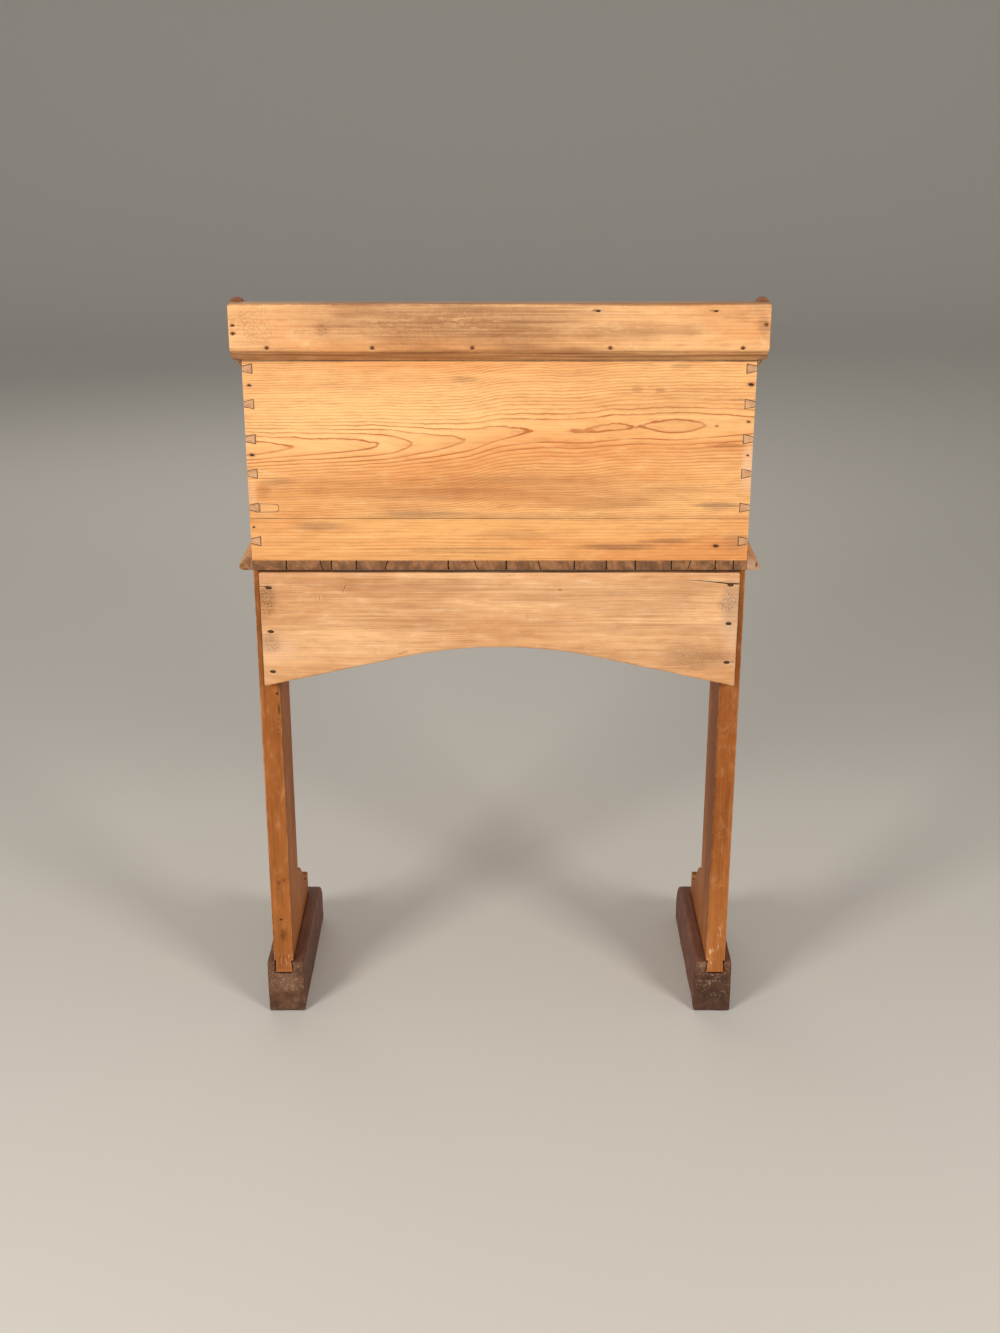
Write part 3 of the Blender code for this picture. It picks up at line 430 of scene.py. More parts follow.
def new_wood(tree, spot, figure, colours):
    """The wood as it left the plane. Gives its colour, and what the surface will need of it."""
    line, shade = ring_lines(tree, spot, figure)
    fibre = cloud(tree, spot.board, (16.0, 1100.0, 1100.0), 1.3, 4.0)
    fine = patches(tree, spot.board, (5.0, 460.0, 460.0), 7.7, 3.0, 0.36, 0.68)
    broad = patches(tree, spot.board, (3.5, 90.0, 90.0), 5.9, 4.0, 0.34, 0.7)
    drift = patches(tree, spot.board, (2.6, 14.0, 14.0), 5.2, 3.0, 0.32, 0.68)
    flecks = patches(tree, spot.board, (60.0, 1900.0, 1900.0), 8.3, 2.0, 0.66, 0.74, 0.0, 0.35)
    here = patches(tree, spot.board, (4.0, 24.0, 24.0), 15.1, 3.0, 0.35, 0.65, 0.25, 1.0)
    colour = blend(tree, drift, colours["pale"], colours["warm"])
    colour = blend(tree, times(tree, broad, colours["streaks"] * 0.5), colour, colours["line"])
    streaky = times(tree, times(tree, fine, here), colours["streaks"])
    colour = blend(tree, streaky, colour, colours["line"])
    # These paler zones are painted light, a glow laid into the wood's colour.
    for middle, halves, strength in figure.get("painted_glow", ()):
        off = away_from(tree, spot.place, middle, halves)
        colour = blend(tree, fade(tree, off, 1.0, 0.1, 0.0, strength), colour, colours["painted_glow"])
    colour = blend(tree, times(tree, shade, colours["lines"] * 0.16), colour, colours["line"])
    colour = blend(tree, times(tree, line, colours["lines"]), colour, colours["line"])
    fibrous = fade(tree, fibre, 0.42, 0.78, 0.0, colours["fibres"])
    colour = blend(tree, fibrous, colour, colours["line"])
    colour = blend(tree, flecks, colour, colours["grime"])
    end_colour, pores = end_grain(tree, spot, line, colours)
    return SimpleNamespace(colour=blend(tree, spot.end, colour, end_colour), line=line, fibre=fibre,
                           fine=fine, pores=pores)


print("new wood is ready")

# %% [markdown]
# Over the new wood lie the years: rubbed edges, scuffs, a film of grime that follows the grain, single
# marks and black joints. Each kind of mark breaks up in its own way. A smear is drawn out along the
# grain, specks are fine dots, a scuff is a bundle of scrapes, and the rest are soft clouds.

# %% The same board after years of use


def ways_to_break(tree, spot, new, mottle):
    """Gives the drawn-out outline, and how each kind of mark breaks up at its outline and inside."""
    patchy = cloud(tree, spot.board, (14.0, 60.0, 60.0), 13.9, 6.0)
    drawn = cloud(tree, spot.board, (8.0, 230.0, 230.0), 16.3, 4.0)
    soft = calc(tree, "MULTIPLY_ADD", mottle, 0.1, calc(tree, "ADD", patchy, 0.16))
    broken = calc(tree, "MULTIPLY_ADD", patchy, 0.5, times(tree, drawn, 0.5))
    broken = calc(tree, "MULTIPLY_ADD", mottle, 0.2, broken)
    broken = calc(tree, "MULTIPLY_ADD", new.fine, 0.22, broken)
    streaks = fade(tree, calc(tree, "ADD", new.fine, drawn), 0.3, 1.2, 0.5, 1.0)
    specks = patches(tree, spot.place, (620.0,) * 3, 14.3, 5.0, 0.46, 0.66)
    scraped = patches(tree, spot.board, (90.0, 300.0, 300.0), 21.7, 6.0, 0.52, 0.7)
    clouded = fade(tree, calc(tree, "ADD", new.fine, mottle), 0.3, 1.3, 0.72, 1.0)
    ways = {"specks": (soft, specks), "scuffs": (broken, scraped), "smear": (broken, streaks),
            "grey": (broken, streaks), "other": (soft, clouded)}
    return broken, ways


def old_wood(tree, spot, new, colours, grime, wear, scuffs, marks, dovetails):
    """The same wood after its years of use. Gives its colour, and how worn and how dirty it is."""
    mottle = cloud(tree, spot.place, (170.0,) * 3, 9.6, 6.0)
    rub = patches(tree, spot.place, (70.0,) * 3, 9.1, 4.0, 0.36, 0.66, 0.0, wear)
    worn = times(tree, turning(tree), rub)
    scuff = patches(tree, spot.place, (48.0,) * 3, 10.7, 6.0, 0.5, 0.7, 0.0, scuffs)
    worn = calc(tree, "MAXIMUM", worn, times(tree, scuff, fade(tree, mottle, 0.4, 0.62)))
    flecked = cloud(tree, spot.board, (34.0, 130.0, 130.0), 18.7, 8.0)
    colour = blend(tree, fade(tree, flecked, 0.48, 0.8, 0.0, 0.3), new.colour, colours["film"])
    colour = blend(tree, fade(tree, flecked, 0.48, 0.2, 0.0, 0.3), colour, colours["worn"])
    colour = blend(tree, worn, colour, colours["worn"])
    broken, ways = ways_to_break(tree, spot, new, mottle)
    for tint, given in (marks or {}).items():
        laid = marked(tree, spot, *ways.get(tint, ways["other"]), given)
        colour = blend(tree, laid, colour, colours[tint])
    film = patches(tree, spot.board, (5.0, 17.0, 17.0), 11.4, 5.0, 0.44, 0.74, 0.0, grime)
    dirty = times(tree, film, fade(tree, broken, 0.4, 1.0, 0.2, 1.0))
    colour = blend(tree, dirty, colour, colours["smear"])
    # Shut-in places darken: grime in the joints, and painted shade in corners and under overhangs.
    black = shut_in(tree)
    if dovetails:
        black = calc(tree, "MAXIMUM", black, dovetail_lines(tree, spot))
    colour = blend(tree, black, colour, colours["grime"])
    return SimpleNamespace(colour=colour, worn=worn, dirty=calc(tree, "MAXIMUM", dirty, black))


print("old wood is ready")

# %% [markdown]
# The surface follows from the same masks: dull where it is dirty or rubbed, a little raised along the
# ring lines, pitted at the pores, and dented all over. Wood and metal start their materials in the same
# way, so that is a helper of its own.

# %% The finish that all woods share


def new_finish(name):
    """Starts a material. Gives it with its net of nodes and its shader."""
    material = bpy.data.materials.new(name)
    material.use_nodes = True
    return material, material.node_tree, material.node_tree.nodes["Principled BSDF"]


def raise_surface(tree, shader, height, strength, distance):
    """Lets a height catch the light on the surface."""
    bump = add_node(tree, "Bump")
    bump.inputs["Strength"].default_value = strength
    bump.inputs["Distance"].default_value = distance
    tree.links.new(height, bump.inputs["Height"])
    tree.links.new(bump.outputs[0], shader.inputs["Normal"])


def wood(name, grain, figure, colours, face=0.0, sloped=False, grime=0.3, wear=0.6, scuffs=0.0,
         gloss=0.45, sheen=0.35, marks=None, dovetails=False):
    """Makes a wood for a board, whose shown side is the face."""
    material, tree, shader = new_finish(name)
    spot = board_place(tree, grain, face, sloped)
    new = new_wood(tree, spot, figure, colours)
    old = old_wood(tree, spot, new, colours, grime, wear, scuffs, marks, dovetails)
    tree.links.new(old.colour, shader.inputs["Base Color"])
    dull = calc(tree, "MULTIPLY_ADD", new.fibre, 0.22, gloss)
    dull = calc(tree, "MULTIPLY_ADD", calc(tree, "MAXIMUM", old.dirty, old.worn), 0.18, dull)
    tree.links.new(dull, shader.inputs["Roughness"])
    shader.inputs["Specular IOR Level"].default_value = sheen
    height = calc(tree, "MULTIPLY_ADD", new.line, 0.3, times(tree, new.fibre, 0.5))
    height = calc(tree, "ADD", height, patches(tree, spot.place, (45.0,) * 3, 17.0, 5.0, 0.3, 0.5))
    pits = times(tree, times(tree, spot.end, new.pores), -0.9)
    raise_surface(tree, shader, calc(tree, "ADD", height, pits), 0.55, 0.0004)
    return material


print("the shared wood finish is ready")

# %% [markdown]
# The CAD pieces have dead sharp edges and flat faces. Real boards have lost theirs, so each wooden piece
# is copied, and the copy is worked on and shown in its place. A Weld joins the points that the model's
# file keeps apart. After it comes a Bevel, which eases the edges. Its width is the most that they can get:
# where edges lie too close together for it, Blender makes it narrower on the whole piece.

# %% Copies with eased edges
WELD_REACH = 0.00001
BEVEL_STEPS = 3
SHARP_FROM = math.radians(35)


def worked_copy(name):
    """Copies a CAD piece, to be worked on and shown in its place."""
    piece = bpy.data.objects.new("worked_" + name, nodes[name].data.copy())
    bpy.context.scene.collection.objects.link(piece)
    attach(piece, "lid" if name.startswith("lid") else "desk")
    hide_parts(name)
    weld = piece.modifiers.new("weld", "WELD")
    weld.merge_threshold = WELD_REACH
    return piece


def ease(piece, width):
    """Rounds a piece's edges a little."""
    bevel = piece.modifiers.new("eased_edges", "BEVEL")
    bevel.width = width
    bevel.segments = BEVEL_STEPS
    bevel.limit_method = "ANGLE"
    bevel.angle_limit = SHARP_FROM
    piece.modifiers.new("even_shading", "WEIGHTED_NORMAL")


def eased(slot, width, *names):
    """Copies pieces and eases their edges."""
    pieces = [worked_copy(name) for name in names]
    for piece in pieces:
        ease(piece, width)
    return pieces


def dress(material, *pieces):
    """Gives pieces a finish."""
    for piece in pieces:
        piece.data.materials.clear()
        piece.data.materials.append(material)


print("copies can be eased and dressed")

# %% [markdown]
# Some pieces took more knocks than an eased edge can show. They get a fine even mesh, which a voxel
# Remesh makes once and for all, and then Smooth rounds it over and Displace dents it. The dents only
# ever go inwards, so that nothing grows, and what lies in front of a sheltered line is left alone. Cuts
# come last, by a Boolean with a hidden shape.

# %% Pieces worn down or cut
NO_SHELTER = -1.0


def wear_down(piece, mesh_size, rounds, dents, dent_size, sheltered=NO_SHELTER):
    """Gives a piece a fine mesh, then rounds and dents what lies further back than the sheltered line."""
    fine = piece.modifiers.new("fine_mesh", "REMESH")
    fine.mode = "VOXEL"
    fine.voxel_size = mesh_size
    fine.use_smooth_shade = True
    settled = piece.evaluated_get(bpy.context.evaluated_depsgraph_get())
    piece.data = bpy.data.meshes.new_from_object(settled)
    piece.modifiers.clear()
    reached = piece.vertex_groups.new(name="reached")
    out = [point.index for point in piece.data.vertices if point.co.y > sheltered]
    reached.add(out, 1.0, "REPLACE")
    rounded = piece.modifiers.new("rounded", "SMOOTH")
    rounded.iterations = rounds
    rounded.vertex_group = reached.name
    knocks = bpy.data.textures.new(piece.name + "_knocks", "CLOUDS")
    knocks.noise_scale = dent_size
    knocks.noise_depth = 3
    dented = piece.modifiers.new("dented", "DISPLACE")
    dented.texture = knocks
    dented.texture_coords = "LOCAL"
    dented.vertex_group = reached.name
    dented.mid_level = 1.0
    dented.strength = dents


def cut(piece, shape):
    """Cuts a hidden shape out of a piece."""
    opening = piece.modifiers.new("cut", "BOOLEAN")
    opening.operation = "DIFFERENCE"
    opening.solver = "EXACT"
    opening.object = shape


print("pieces can be worn down and cut")

# %% [markdown]
# Cracks, checks, nail holes and the nails in them are all one shape: a wedge that follows a short path
# on a face, wide at the surface and narrow inside. One helper lofts it from the path, and a hidden mesh
# of such wedges cuts a piece.

# %% A wedge along a path
CUT_FROM_ABOVE = 0.002
WEDGE_FOOT = 0.35
NAIL_DASH = ((-0.5, 0.45), (-0.2, 1.0), (0.25, 0.9), (0.5, 0.3))


def wedge(edit, path, face, depth, over=CUT_FROM_ABOVE, narrow=WEDGE_FOOT):
    """Lofts a wedge along points of x, z and width on a face that looks to the rear."""
    rings = []
    for number, (x, z, width) in enumerate(path):
        before, after = path[max(number - 1, 0)], path[min(number + 1, len(path) - 1)]
        ahead = Vector((after[0] - before[0], after[1] - before[1])).normalized()
        side = Vector((-ahead.y, ahead.x)) * width / 2
        top, foot = face + over, face - depth
        corners = ((1, top), (narrow, foot), (-narrow, foot), (-1, top))
        rings.append([edit.verts.new((x + side.x * out, y, z + side.y * out)) for out, y in corners])
    for near, far in zip(rings, rings[1:]):
        for corner in range(len(near)):
            edit.faces.new((near[corner - 1], near[corner], far[corner], far[corner - 1]))
    edit.faces.new(rings[0])
    edit.faces.new(reversed(rings[-1]))


def wedges(name, shapes, **sizes):
    """Makes one object of several wedges: the path, the face and the depth of each."""
    mesh = bpy.data.meshes.new(name)
    edit = bmesh.new()
    for path, face, depth in shapes:
        wedge(edit, path, face, depth, **sizes)
    bmesh.ops.recalc_face_normals(edit, faces=edit.faces)
    edit.to_mesh(mesh)
    edit.free()
    piece = bpy.data.objects.new(name, mesh)
    bpy.context.scene.collection.objects.link(piece)
    return piece


def cutter(name, shapes, **sizes):
    """Makes hidden wedges that only cut."""
    piece = wedges(name, shapes, **sizes)
    piece.hide_render = True
    piece.display_type = "WIRE"
    return piece


def nail_hole(x, z, slant=0.1, length=0.005, height=0.0034):
    """The path of a cut nail's slot, a short dash that slants a little."""
    return [(x + share * length, z + share * length * slant, height * wide) for share, wide in NAIL_DASH]


print("wedges ready")

# %% [markdown]
# The metal is old: hinges of brass gone brown, steel screws, and cut nails of rusty iron. Their CAD
# shapes are right, so they only need a finish. Polish and tarnish come and go in patches, and the heads
# of the rail's nails have rusted paler towards their edge.

# %% The metals


def old_metal(name, bright, tarnish, shine, dull, metallic=1.0, rim=None):
    """Makes a metal whose polish comes and goes. A rim colour is what a head's edge rusted to."""
    material, tree, shader = new_finish(name)
    place = add_node(tree, "TexCoord").outputs["Object"]
    tarnished = patches(tree, place, (240.0,) * 3, 2.0, 5.0, 0.35, 0.65)
    scratches = cloud(tree, place, (2400.0, 300.0, 900.0), 4.0, 3.0)
    dirty = calc(tree, "MAXIMUM", times(tree, tarnished, 0.6), shut_in(tree))
    colour = blend(tree, dirty, bright, tarnish)
    colour = blend(tree, times(tree, turning(tree), 0.6), colour, bright)
    if rim:
        over_head = add_node(tree, "TexCoord").outputs["Generated"]
        over_head = aim(tree, "MULTIPLY_ADD", over_head, (1, 0, 1), (-0.5, 0, -0.5))
        out = calc(tree, "MULTIPLY_ADD", tarnished, 0.1, aim(tree, "LENGTH", over_head))
        colour = blend(tree, fade(tree, out, 0.3, 0.5), colour, rim)
    tree.links.new(colour, shader.inputs["Base Color"])
    rough = calc(tree, "MULTIPLY_ADD", scratches, 0.3, tarnished)
    tree.links.new(fade(tree, rough, 0.2, 1.2, shine, dull), shader.inputs["Roughness"])
    shader.inputs["Metallic"].default_value = metallic
    shader.inputs["Specular IOR Level"].default_value = 0.2
    raise_surface(tree, shader, calc(tree, "ADD", scratches, tarnished), 0.4, 0.0002)
    return material


brass = old_metal("aged_brass", paint(186, 142, 76), paint(108, 76, 40), shine=0.34, dull=0.6)
steel = old_metal("dull_steel", paint(150, 146, 138), paint(74, 62, 52), shine=0.35, dull=0.65)
iron = old_metal("rusty_iron", paint(88, 54, 33), paint(46, 28, 18), shine=0.7, dull=0.9, metallic=0.0)
nail_head = old_metal("rusty_nail_head", paint(66, 42, 28), paint(34, 21, 14), shine=0.7, dull=0.9,
                      metallic=0.0, rim=paint(164, 106, 62))
dress(brass, *(nodes[n] for n in nodes if n.startswith("hinge") and "screw" not in n))
dress(steel, *(nodes[n] for n in nodes if "screw" in n))
dress(nail_head, *(nodes[n] for n in nodes if n.startswith("rail")))
dress(iron, *(nodes[n] for n in nodes if n.startswith("apron_nail")))
print("metals on", sum("hinge" in n or "screw" in n or "nail" in n for n in nodes), "pieces")

# %% [markdown]
# The box is honey-coloured pine. Its colours are named once, and every other wood changes only what
# differs. The desk's back is the board that everyone sees. Its upper board was sawn just beside the
# tree's heart: nested arches run in from the left, one stops in a jagged point past the middle, and a
# long eye lies in the right half. On the other boards the heart runs straight, so one helper serves all.

# %% The pine of the box
BOX_COLOURS = {
    "pale": paint(242, 188, 122), "warm": paint(228, 159, 93), "line": paint(162, 78, 28),
    "end": paint(216, 164, 118), "end_dark": paint(178, 126, 86), "grime": paint(52, 32, 19),
    "worn": paint(240, 202, 150), "smear": paint(138, 92, 55), "film": paint(150, 96, 54),
    "grey": paint(118, 94, 72), "dust": paint(226, 188, 156), "specks": paint(70, 48, 34),
    # The last colour on this line paints a glow of light onto the wood.
    "knot": paint(140, 76, 32), "painted_glow": paint(249, 197, 132),
    "lines": 1.0, "streaks": 0.26, "fibres": 0.25}
UPPER_COLOURS = {**BOX_COLOURS, "line": paint(172, 88, 35)}
LOWER_COLOURS = {**BOX_COLOURS, "pale": paint(238, 179, 111), "warm": paint(222, 150, 84), "lines": 0.5}
BACK_FIGURE = {
    "heart": [(-0.33, 0.853), (-0.221, 0.8517), (-0.151, 0.8504), (-0.095, 0.8453), (-0.036, 0.8453),
              (0.048, 0.833), (0.11, 0.829), (0.153, 0.828), (0.243, 0.8255), (0.33, 0.8235)],
    "depth": [(-0.33, 0.0585), (-0.256, 0.0549), (-0.221, 0.0533), (-0.178, 0.0549), (-0.15, 0.0546),
              (-0.12, 0.0546), (-0.096, 0.0549), (-0.065, 0.0557), (-0.036, 0.0549), (0.048, 0.0493),
              (0.11, 0.0437), (0.153, 0.0381), (0.243, 0.0337), (0.33, 0.028)],
    "first": 0.03866, "ring": 0.0056, "crowds_from": 0.06, "crowding": 150.0, "waver": 0.0011,
    "jag": 0.0017, "line": 0.0018, "squeeze": 1.6, "far_lines": 0.45,
    # The last rows paint a glow of light over the upper board, as a painted highlight.
    "painted_glow": marks_on(back_face, (0.22, 0.86, 0.26, 0.1, 0.75), (0.04, 0.862, 0.2, 0.06, 0.4))}
GRAIN_FROM, GRAIN_TO = -0.7, 1.1


def straight(heart, depth, ring=0.0036, first=0.002, waver=0.003, lean=0.0, line=0.0006, dive=0.004,
             jag=0.0006):
    """The figure of a board whose heart runs straight, or leans and dives a little along the board."""
    return {"heart": [(GRAIN_FROM, heart - lean), (GRAIN_TO, heart + lean)],
            "depth": [(GRAIN_FROM, depth), (GRAIN_TO, depth + dive)],
            "first": first, "ring": ring, "crowds_from": 0.08, "crowding": 300.0, "waver": waver,
            "jag": jag, "line": line, "squeeze": 1.0, "far_lines": 0.7}


print(f"{len(BOX_COLOURS)} values in the box's pine")

# %% [markdown]
# The stains on the back are what makes this desk known at a glance. Each is a row of numbers, under the
# name of the colour that it leaves: where it is, how far it reaches and how strong it is. Rust has run
# out round the small nails that were driven in beside the dovetails. One dark row is no stain but a
# painted shadow, along the back just under the rail. A painted picture could show all this too, but a
# row of numbers can be moved, widened or weakened on its own.

# %% Stains on the back
BACK_NAILS = ((0.311, 0.903, 1.0), (0.312, 0.8145, 1.2), (-0.3125, 0.904, 1.4), (-0.312, 0.857, 0.8),
              (-0.313, 0.814, 0.8), (-0.278, 0.695, 1.4), (0.3145, 0.72, 0.7))
RUST_HALF_WIDTH, RUST_HALF_HEIGHT = 0.006, 0.004
RUST_ON_BACK = 0.55
nail_stains = [mark_on(back_face, x, z, RUST_HALF_WIDTH * size, RUST_HALF_HEIGHT * size, RUST_ON_BACK)
               for x, z, size in BACK_NAILS]
rail_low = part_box("gallery_back_rail")[0].z
BACK_MARKS = {
    "smear": marks_on(back_face, (0.044, 0.911, 0.03, 0.0045, 0.7), (-0.226, 0.926, 0.02, 0.006, 0.45),
                      (0.0, 0.735, 0.3, 0.006, 0.3)) + nail_stains,
    "film": marks_on(back_face, (0.05, 0.766, 0.2, 0.02, 0.4), (-0.12, 0.752, 0.12, 0.016, 0.45),
                     (-0.22, 0.77, 0.08, 0.01, 0.35), (0.0, 0.77, 0.36, 0.03, 0.3)),
    "grey": marks_on(back_face, (-0.28, 0.748, 0.04, 0.007, 0.6), (0.285, 0.78, 0.03, 0.008, 0.35),
                     (-0.298, 0.885, 0.02, 0.004, 0.5), (0.1, 0.74, 0.08, 0.008, 0.35)),
    "knot": marks_on(back_face, (-0.2726, 0.8517, 0.004, 0.0022, 0.9), (0.3, 0.768, 0.014, 0.012, 0.4),
                     (-0.285, 0.827, 0.035, 0.004, 0.6), (-0.172, 0.898, 0.012, 0.006, 0.4),
                     (-0.2, 0.897, 0.009, 0.005, 0.4)),
    "dust": marks_on(back_face, (-0.314, 0.8, 0.011, 0.04, 0.55), (0.314, 0.76, 0.008, 0.03, 0.35)),
    # The row at the rail's lower edge is a painted shadow under the rail; the two at 0.7316 are dirt in
    # the joint between the boards.
    "grime": marks_on(back_face, (0.29, 0.7316, 0.03, 0.0012, 0.7), (0.05, 0.7316, 0.3, 0.001, 0.5),
                      (0.0, rail_low, 20.0, 0.0014, 1.0))}
LOWER_MARKS = {
    "smear": marks_on(back_face, (-0.155, 0.694, 0.08, 0.006, 0.85), (-0.215, 0.702, 0.05, 0.005, 0.8),
                      (0.05, 0.69, 0.14, 0.008, 0.4), (-0.02, 0.71, 0.1, 0.008, 0.35)) + nail_stains,
    "grey": marks_on(back_face, (0.23, 0.722, 0.05, 0.007, 0.5), (-0.3, 0.7, 0.02, 0.02, 0.3))}
print(sum(len(rows) for rows in (*BACK_MARKS.values(), *LOWER_MARKS.values())), "stains on the back")

# %% [markdown]
# The back is two boards, edge to edge. The small nails need real holes, and so does the flush patch of
# wood that mends a hole near the lower left corner. Bump could only fake them, so wedges cut the boards.

# %% The back's two boards
BOX_EDGE = 0.0005
NAIL_HOLE_DEPTH = 0.004
PATCH = ((0.2812, 0.7454, 0.0062), (0.2838, 0.7454, 0.0106), (0.3054, 0.7452, 0.0116))
PATCH_DEPTH = 0.0015
back_paths = [nail_hole(x, z, length=0.005 * size, height=0.0036 * size) for x, z, size in BACK_NAILS]
holes = cutter("back_holes", [(path, back_face, NAIL_HOLE_DEPTH) for path in back_paths])
recess = cutter("patch_recess", [(PATCH, back_face, PATCH_DEPTH)], narrow=1.0)
upper, lower = eased("box_pine", BOX_EDGE, "back_board_upper", "back_board_lower")
cut(upper, holes)
cut(upper, recess)
cut(lower, holes)
dress(wood("back_board_pine", "XZY", BACK_FIGURE, UPPER_COLOURS, back_face, marks=BACK_MARKS,
           dovetails=True), upper)
dress(wood("lower_back_pine", "XZY", straight(0.62, 0.03, ring=0.0042, first=0.003), LOWER_COLOURS,
           back_face, marks=LOWER_MARKS, dovetails=True), lower)
print(f"{len(BACK_NAILS)} nail holes in the back")

# %% [markdown]
# A nail's head sits a little under the face, and the patch is all but flush. Both are wedges again. The
# patch is a little smaller than its hole, so that a dark line is left round it.

# %% The nails and the patch in the back
HEAD_DEPTH = 0.002
BACK_HEADS_SUNK = 0.0012
PATCH_GAP = 0.0006
PATCH_SUNK = 0.0001
PATCH_COLOURS = {**BOX_COLOURS, "pale": paint(241, 189, 126), "warm": paint(230, 167, 104), "lines": 0.15}


def set_in(piece, material):
    """Fixes a new piece to the desk."""
    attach(piece, "desk")
    dress(material, piece)


def nail_heads(name, paths, face):
    """Fills nail holes with sunken heads."""
    heads = wedges(name, [(path, face, HEAD_DEPTH) for path in paths], over=0.0, narrow=0.5)
    set_in(heads, iron)
    return heads


back_nails = nail_heads("back_nails", back_paths, back_face - BACK_HEADS_SUNK)
middle = sum(x for x, _, _ in PATCH) / len(PATCH)
patch_path = [(x - math.copysign(PATCH_GAP, x - middle), z, width - 2 * PATCH_GAP)
              for x, z, width in PATCH]
patch = wedges("back_patch", [(patch_path, back_face, PATCH_DEPTH)], over=-PATCH_SUNK, narrow=1.0)
patch_pine = wood("patch_pine", "XZY", straight(0.7, 0.03, ring=0.003), PATCH_COLOURS, back_face)
set_in(patch, patch_pine)
print("set in:", back_nails.name, "and", patch.name)

# %% [markdown]
# The sides, the front and the moulding are the same pine. Their grain runs along each board, so each
# kind of board gets a figure of its own. One for all would be shorter, but its lines would run on round
# the corners, as they never do in joined boards. On the sides and the front the heart dives, which
# draws arches.

# %% The other boards of the box
MOULDING_EDGE = 0.0006
sides = eased("box_pine", BOX_EDGE, "side_board_left", "side_board_right")
side_figure = straight(0.79, 0.03, ring=0.0046, first=0.0012, waver=0.009, lean=0.02, line=0.0012,
                       dive=0.07, jag=0.0012)
dress(wood("side_pine", "YZX", side_figure, BOX_COLOURS, dovetails=True), *sides)
front = eased("box_pine", BOX_EDGE, "front_board")
front_figure = straight(0.76, 0.03, ring=0.0048, first=0.001, waver=0.01, lean=0.03, line=0.0012,
                        dive=0.08, jag=0.0012)
dress(wood("front_pine", "XZY", front_figure, BOX_COLOURS), *front)
MOULDING_COLOURS = {**BOX_COLOURS, "end": paint(164, 112, 70), "end_dark": paint(98, 64, 38)}
MOULDING_MARKS = {
    "dust": marks_on(back_face, (-0.325, 0.669, 0.014, 0.012, 0.45)),
    "grime": marks_on(back_face, (-0.3315, 0.6695, 0.0028, 0.0045, 0.9),
                      (0.327, 0.664, 0.006, 0.002, 0.7))}
moulding_figure = straight(0.5, 0.03)
side_mouldings = eased("box_pine", MOULDING_EDGE, "base_moulding_left", "base_moulding_right")
dress(wood("moulding_pine", "YZX", moulding_figure, MOULDING_COLOURS, grime=0.5, marks=MOULDING_MARKS),
      *side_mouldings)
front_moulding = eased("box_pine", MOULDING_EDGE, "base_moulding_front")
dress(wood("front_moulding_pine", "XZY", moulding_figure, MOULDING_COLOURS, grime=0.5), *front_moulding)
print("the box wears", sum(m.name.endswith("pine") for m in bpy.data.materials), "pines")

# %% [markdown]
# The bottom boards run from front to back, so the camera sees only their ends: dark, dry end grain,
# split by checks where the rings shrank. A check is a real slit here, because its shadow tells the eye
# how deep it goes. The boards swell by a quarter of a millimetre, so that no light comes between them.

# %% The bottom boards
CHECKS = (0.2749, 0.2168, 0.1845, 0.0658, -0.009, -0.0968, -0.1381, -0.1755, -0.222, -0.2788, -0.302)
CHECK_WIDTH, CHECK_DEPTH = 0.0021, 0.009
CHECK_ABOVE_FOOT, CHECK_OVER_TOP = 0.0006, 0.001
CHECK_KINK, CHECK_WAIST = 0.0004, 0.8
LEANING_CHECKS = ((0.2297, 0.004), (0.1458, -0.004), (0.03, 0.005), (-0.0516, 0.004), (-0.2452, -0.004))
LEANING_WIDTH, LEANING_DEPTH = 0.0016, 0.007
SWELLING = 0.00024
BOTTOM_EDGE = 0.0006
BOTTOM_COLOURS = {**BOX_COLOURS, "end": paint(160, 110, 70), "end_dark": paint(84, 54, 32),
                  "worn": paint(160, 112, 74)}
bottom_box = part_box("bottom_board_1")
bottom_low, bottom_high, bottom_rear = bottom_box[0].z, bottom_box[1].z, bottom_box[1].y


def swell(piece, growth):
    """Lets a board swell a hair's breadth, so that it meets its neighbour."""
    damp = piece.modifiers.new("swollen", "DISPLACE")
    damp.mid_level = 0.0
    damp.strength = growth


def check_path(x, lean, width):
    """The path of a check, from the foot of the board to its top."""
    middle = (bottom_low + bottom_high) / 2
    return [(x - lean / 2, bottom_low + CHECK_ABOVE_FOOT, width),
            (x + CHECK_KINK, middle, width * CHECK_WAIST),
            (x + lean / 2, bottom_high + CHECK_OVER_TOP, width)]


check_shapes = [(check_path(x, 0.0, CHECK_WIDTH), bottom_rear, CHECK_DEPTH) for x in CHECKS]
check_shapes += [(check_path(x, lean, LEANING_WIDTH), bottom_rear, LEANING_DEPTH)
                 for x, lean in LEANING_CHECKS]
checks = cutter("bottom_checks", check_shapes)
bottoms = [worked_copy(f"bottom_board_{number}") for number in (1, 2, 3, 4)]
for board in bottoms:
    swell(board, SWELLING)
    ease(board, BOTTOM_EDGE)
    cut(board, checks)
bottom_figure = straight(0.4, 0.12, ring=0.007, waver=0.004, line=0.0008)
bottom_figure = {**bottom_figure, "crowding": 0.0, "far_lines": 1.0}
dress(wood("bottom_pine", "YXZ", bottom_figure, BOTTOM_COLOURS, bottom_low, grime=0.5, wear=0.25),
      *bottoms)
print(f"{len(check_shapes)} checks in the bottom boards")

# %% [markdown]
# The gallery rail was handled most: brown grime fills the middle of its face, and the ends are scraped
# pale. Dirt has also gathered along its top edge and in the bevel under it. Noise alone would spread the
# dirt evenly, so its places are again given row by row.

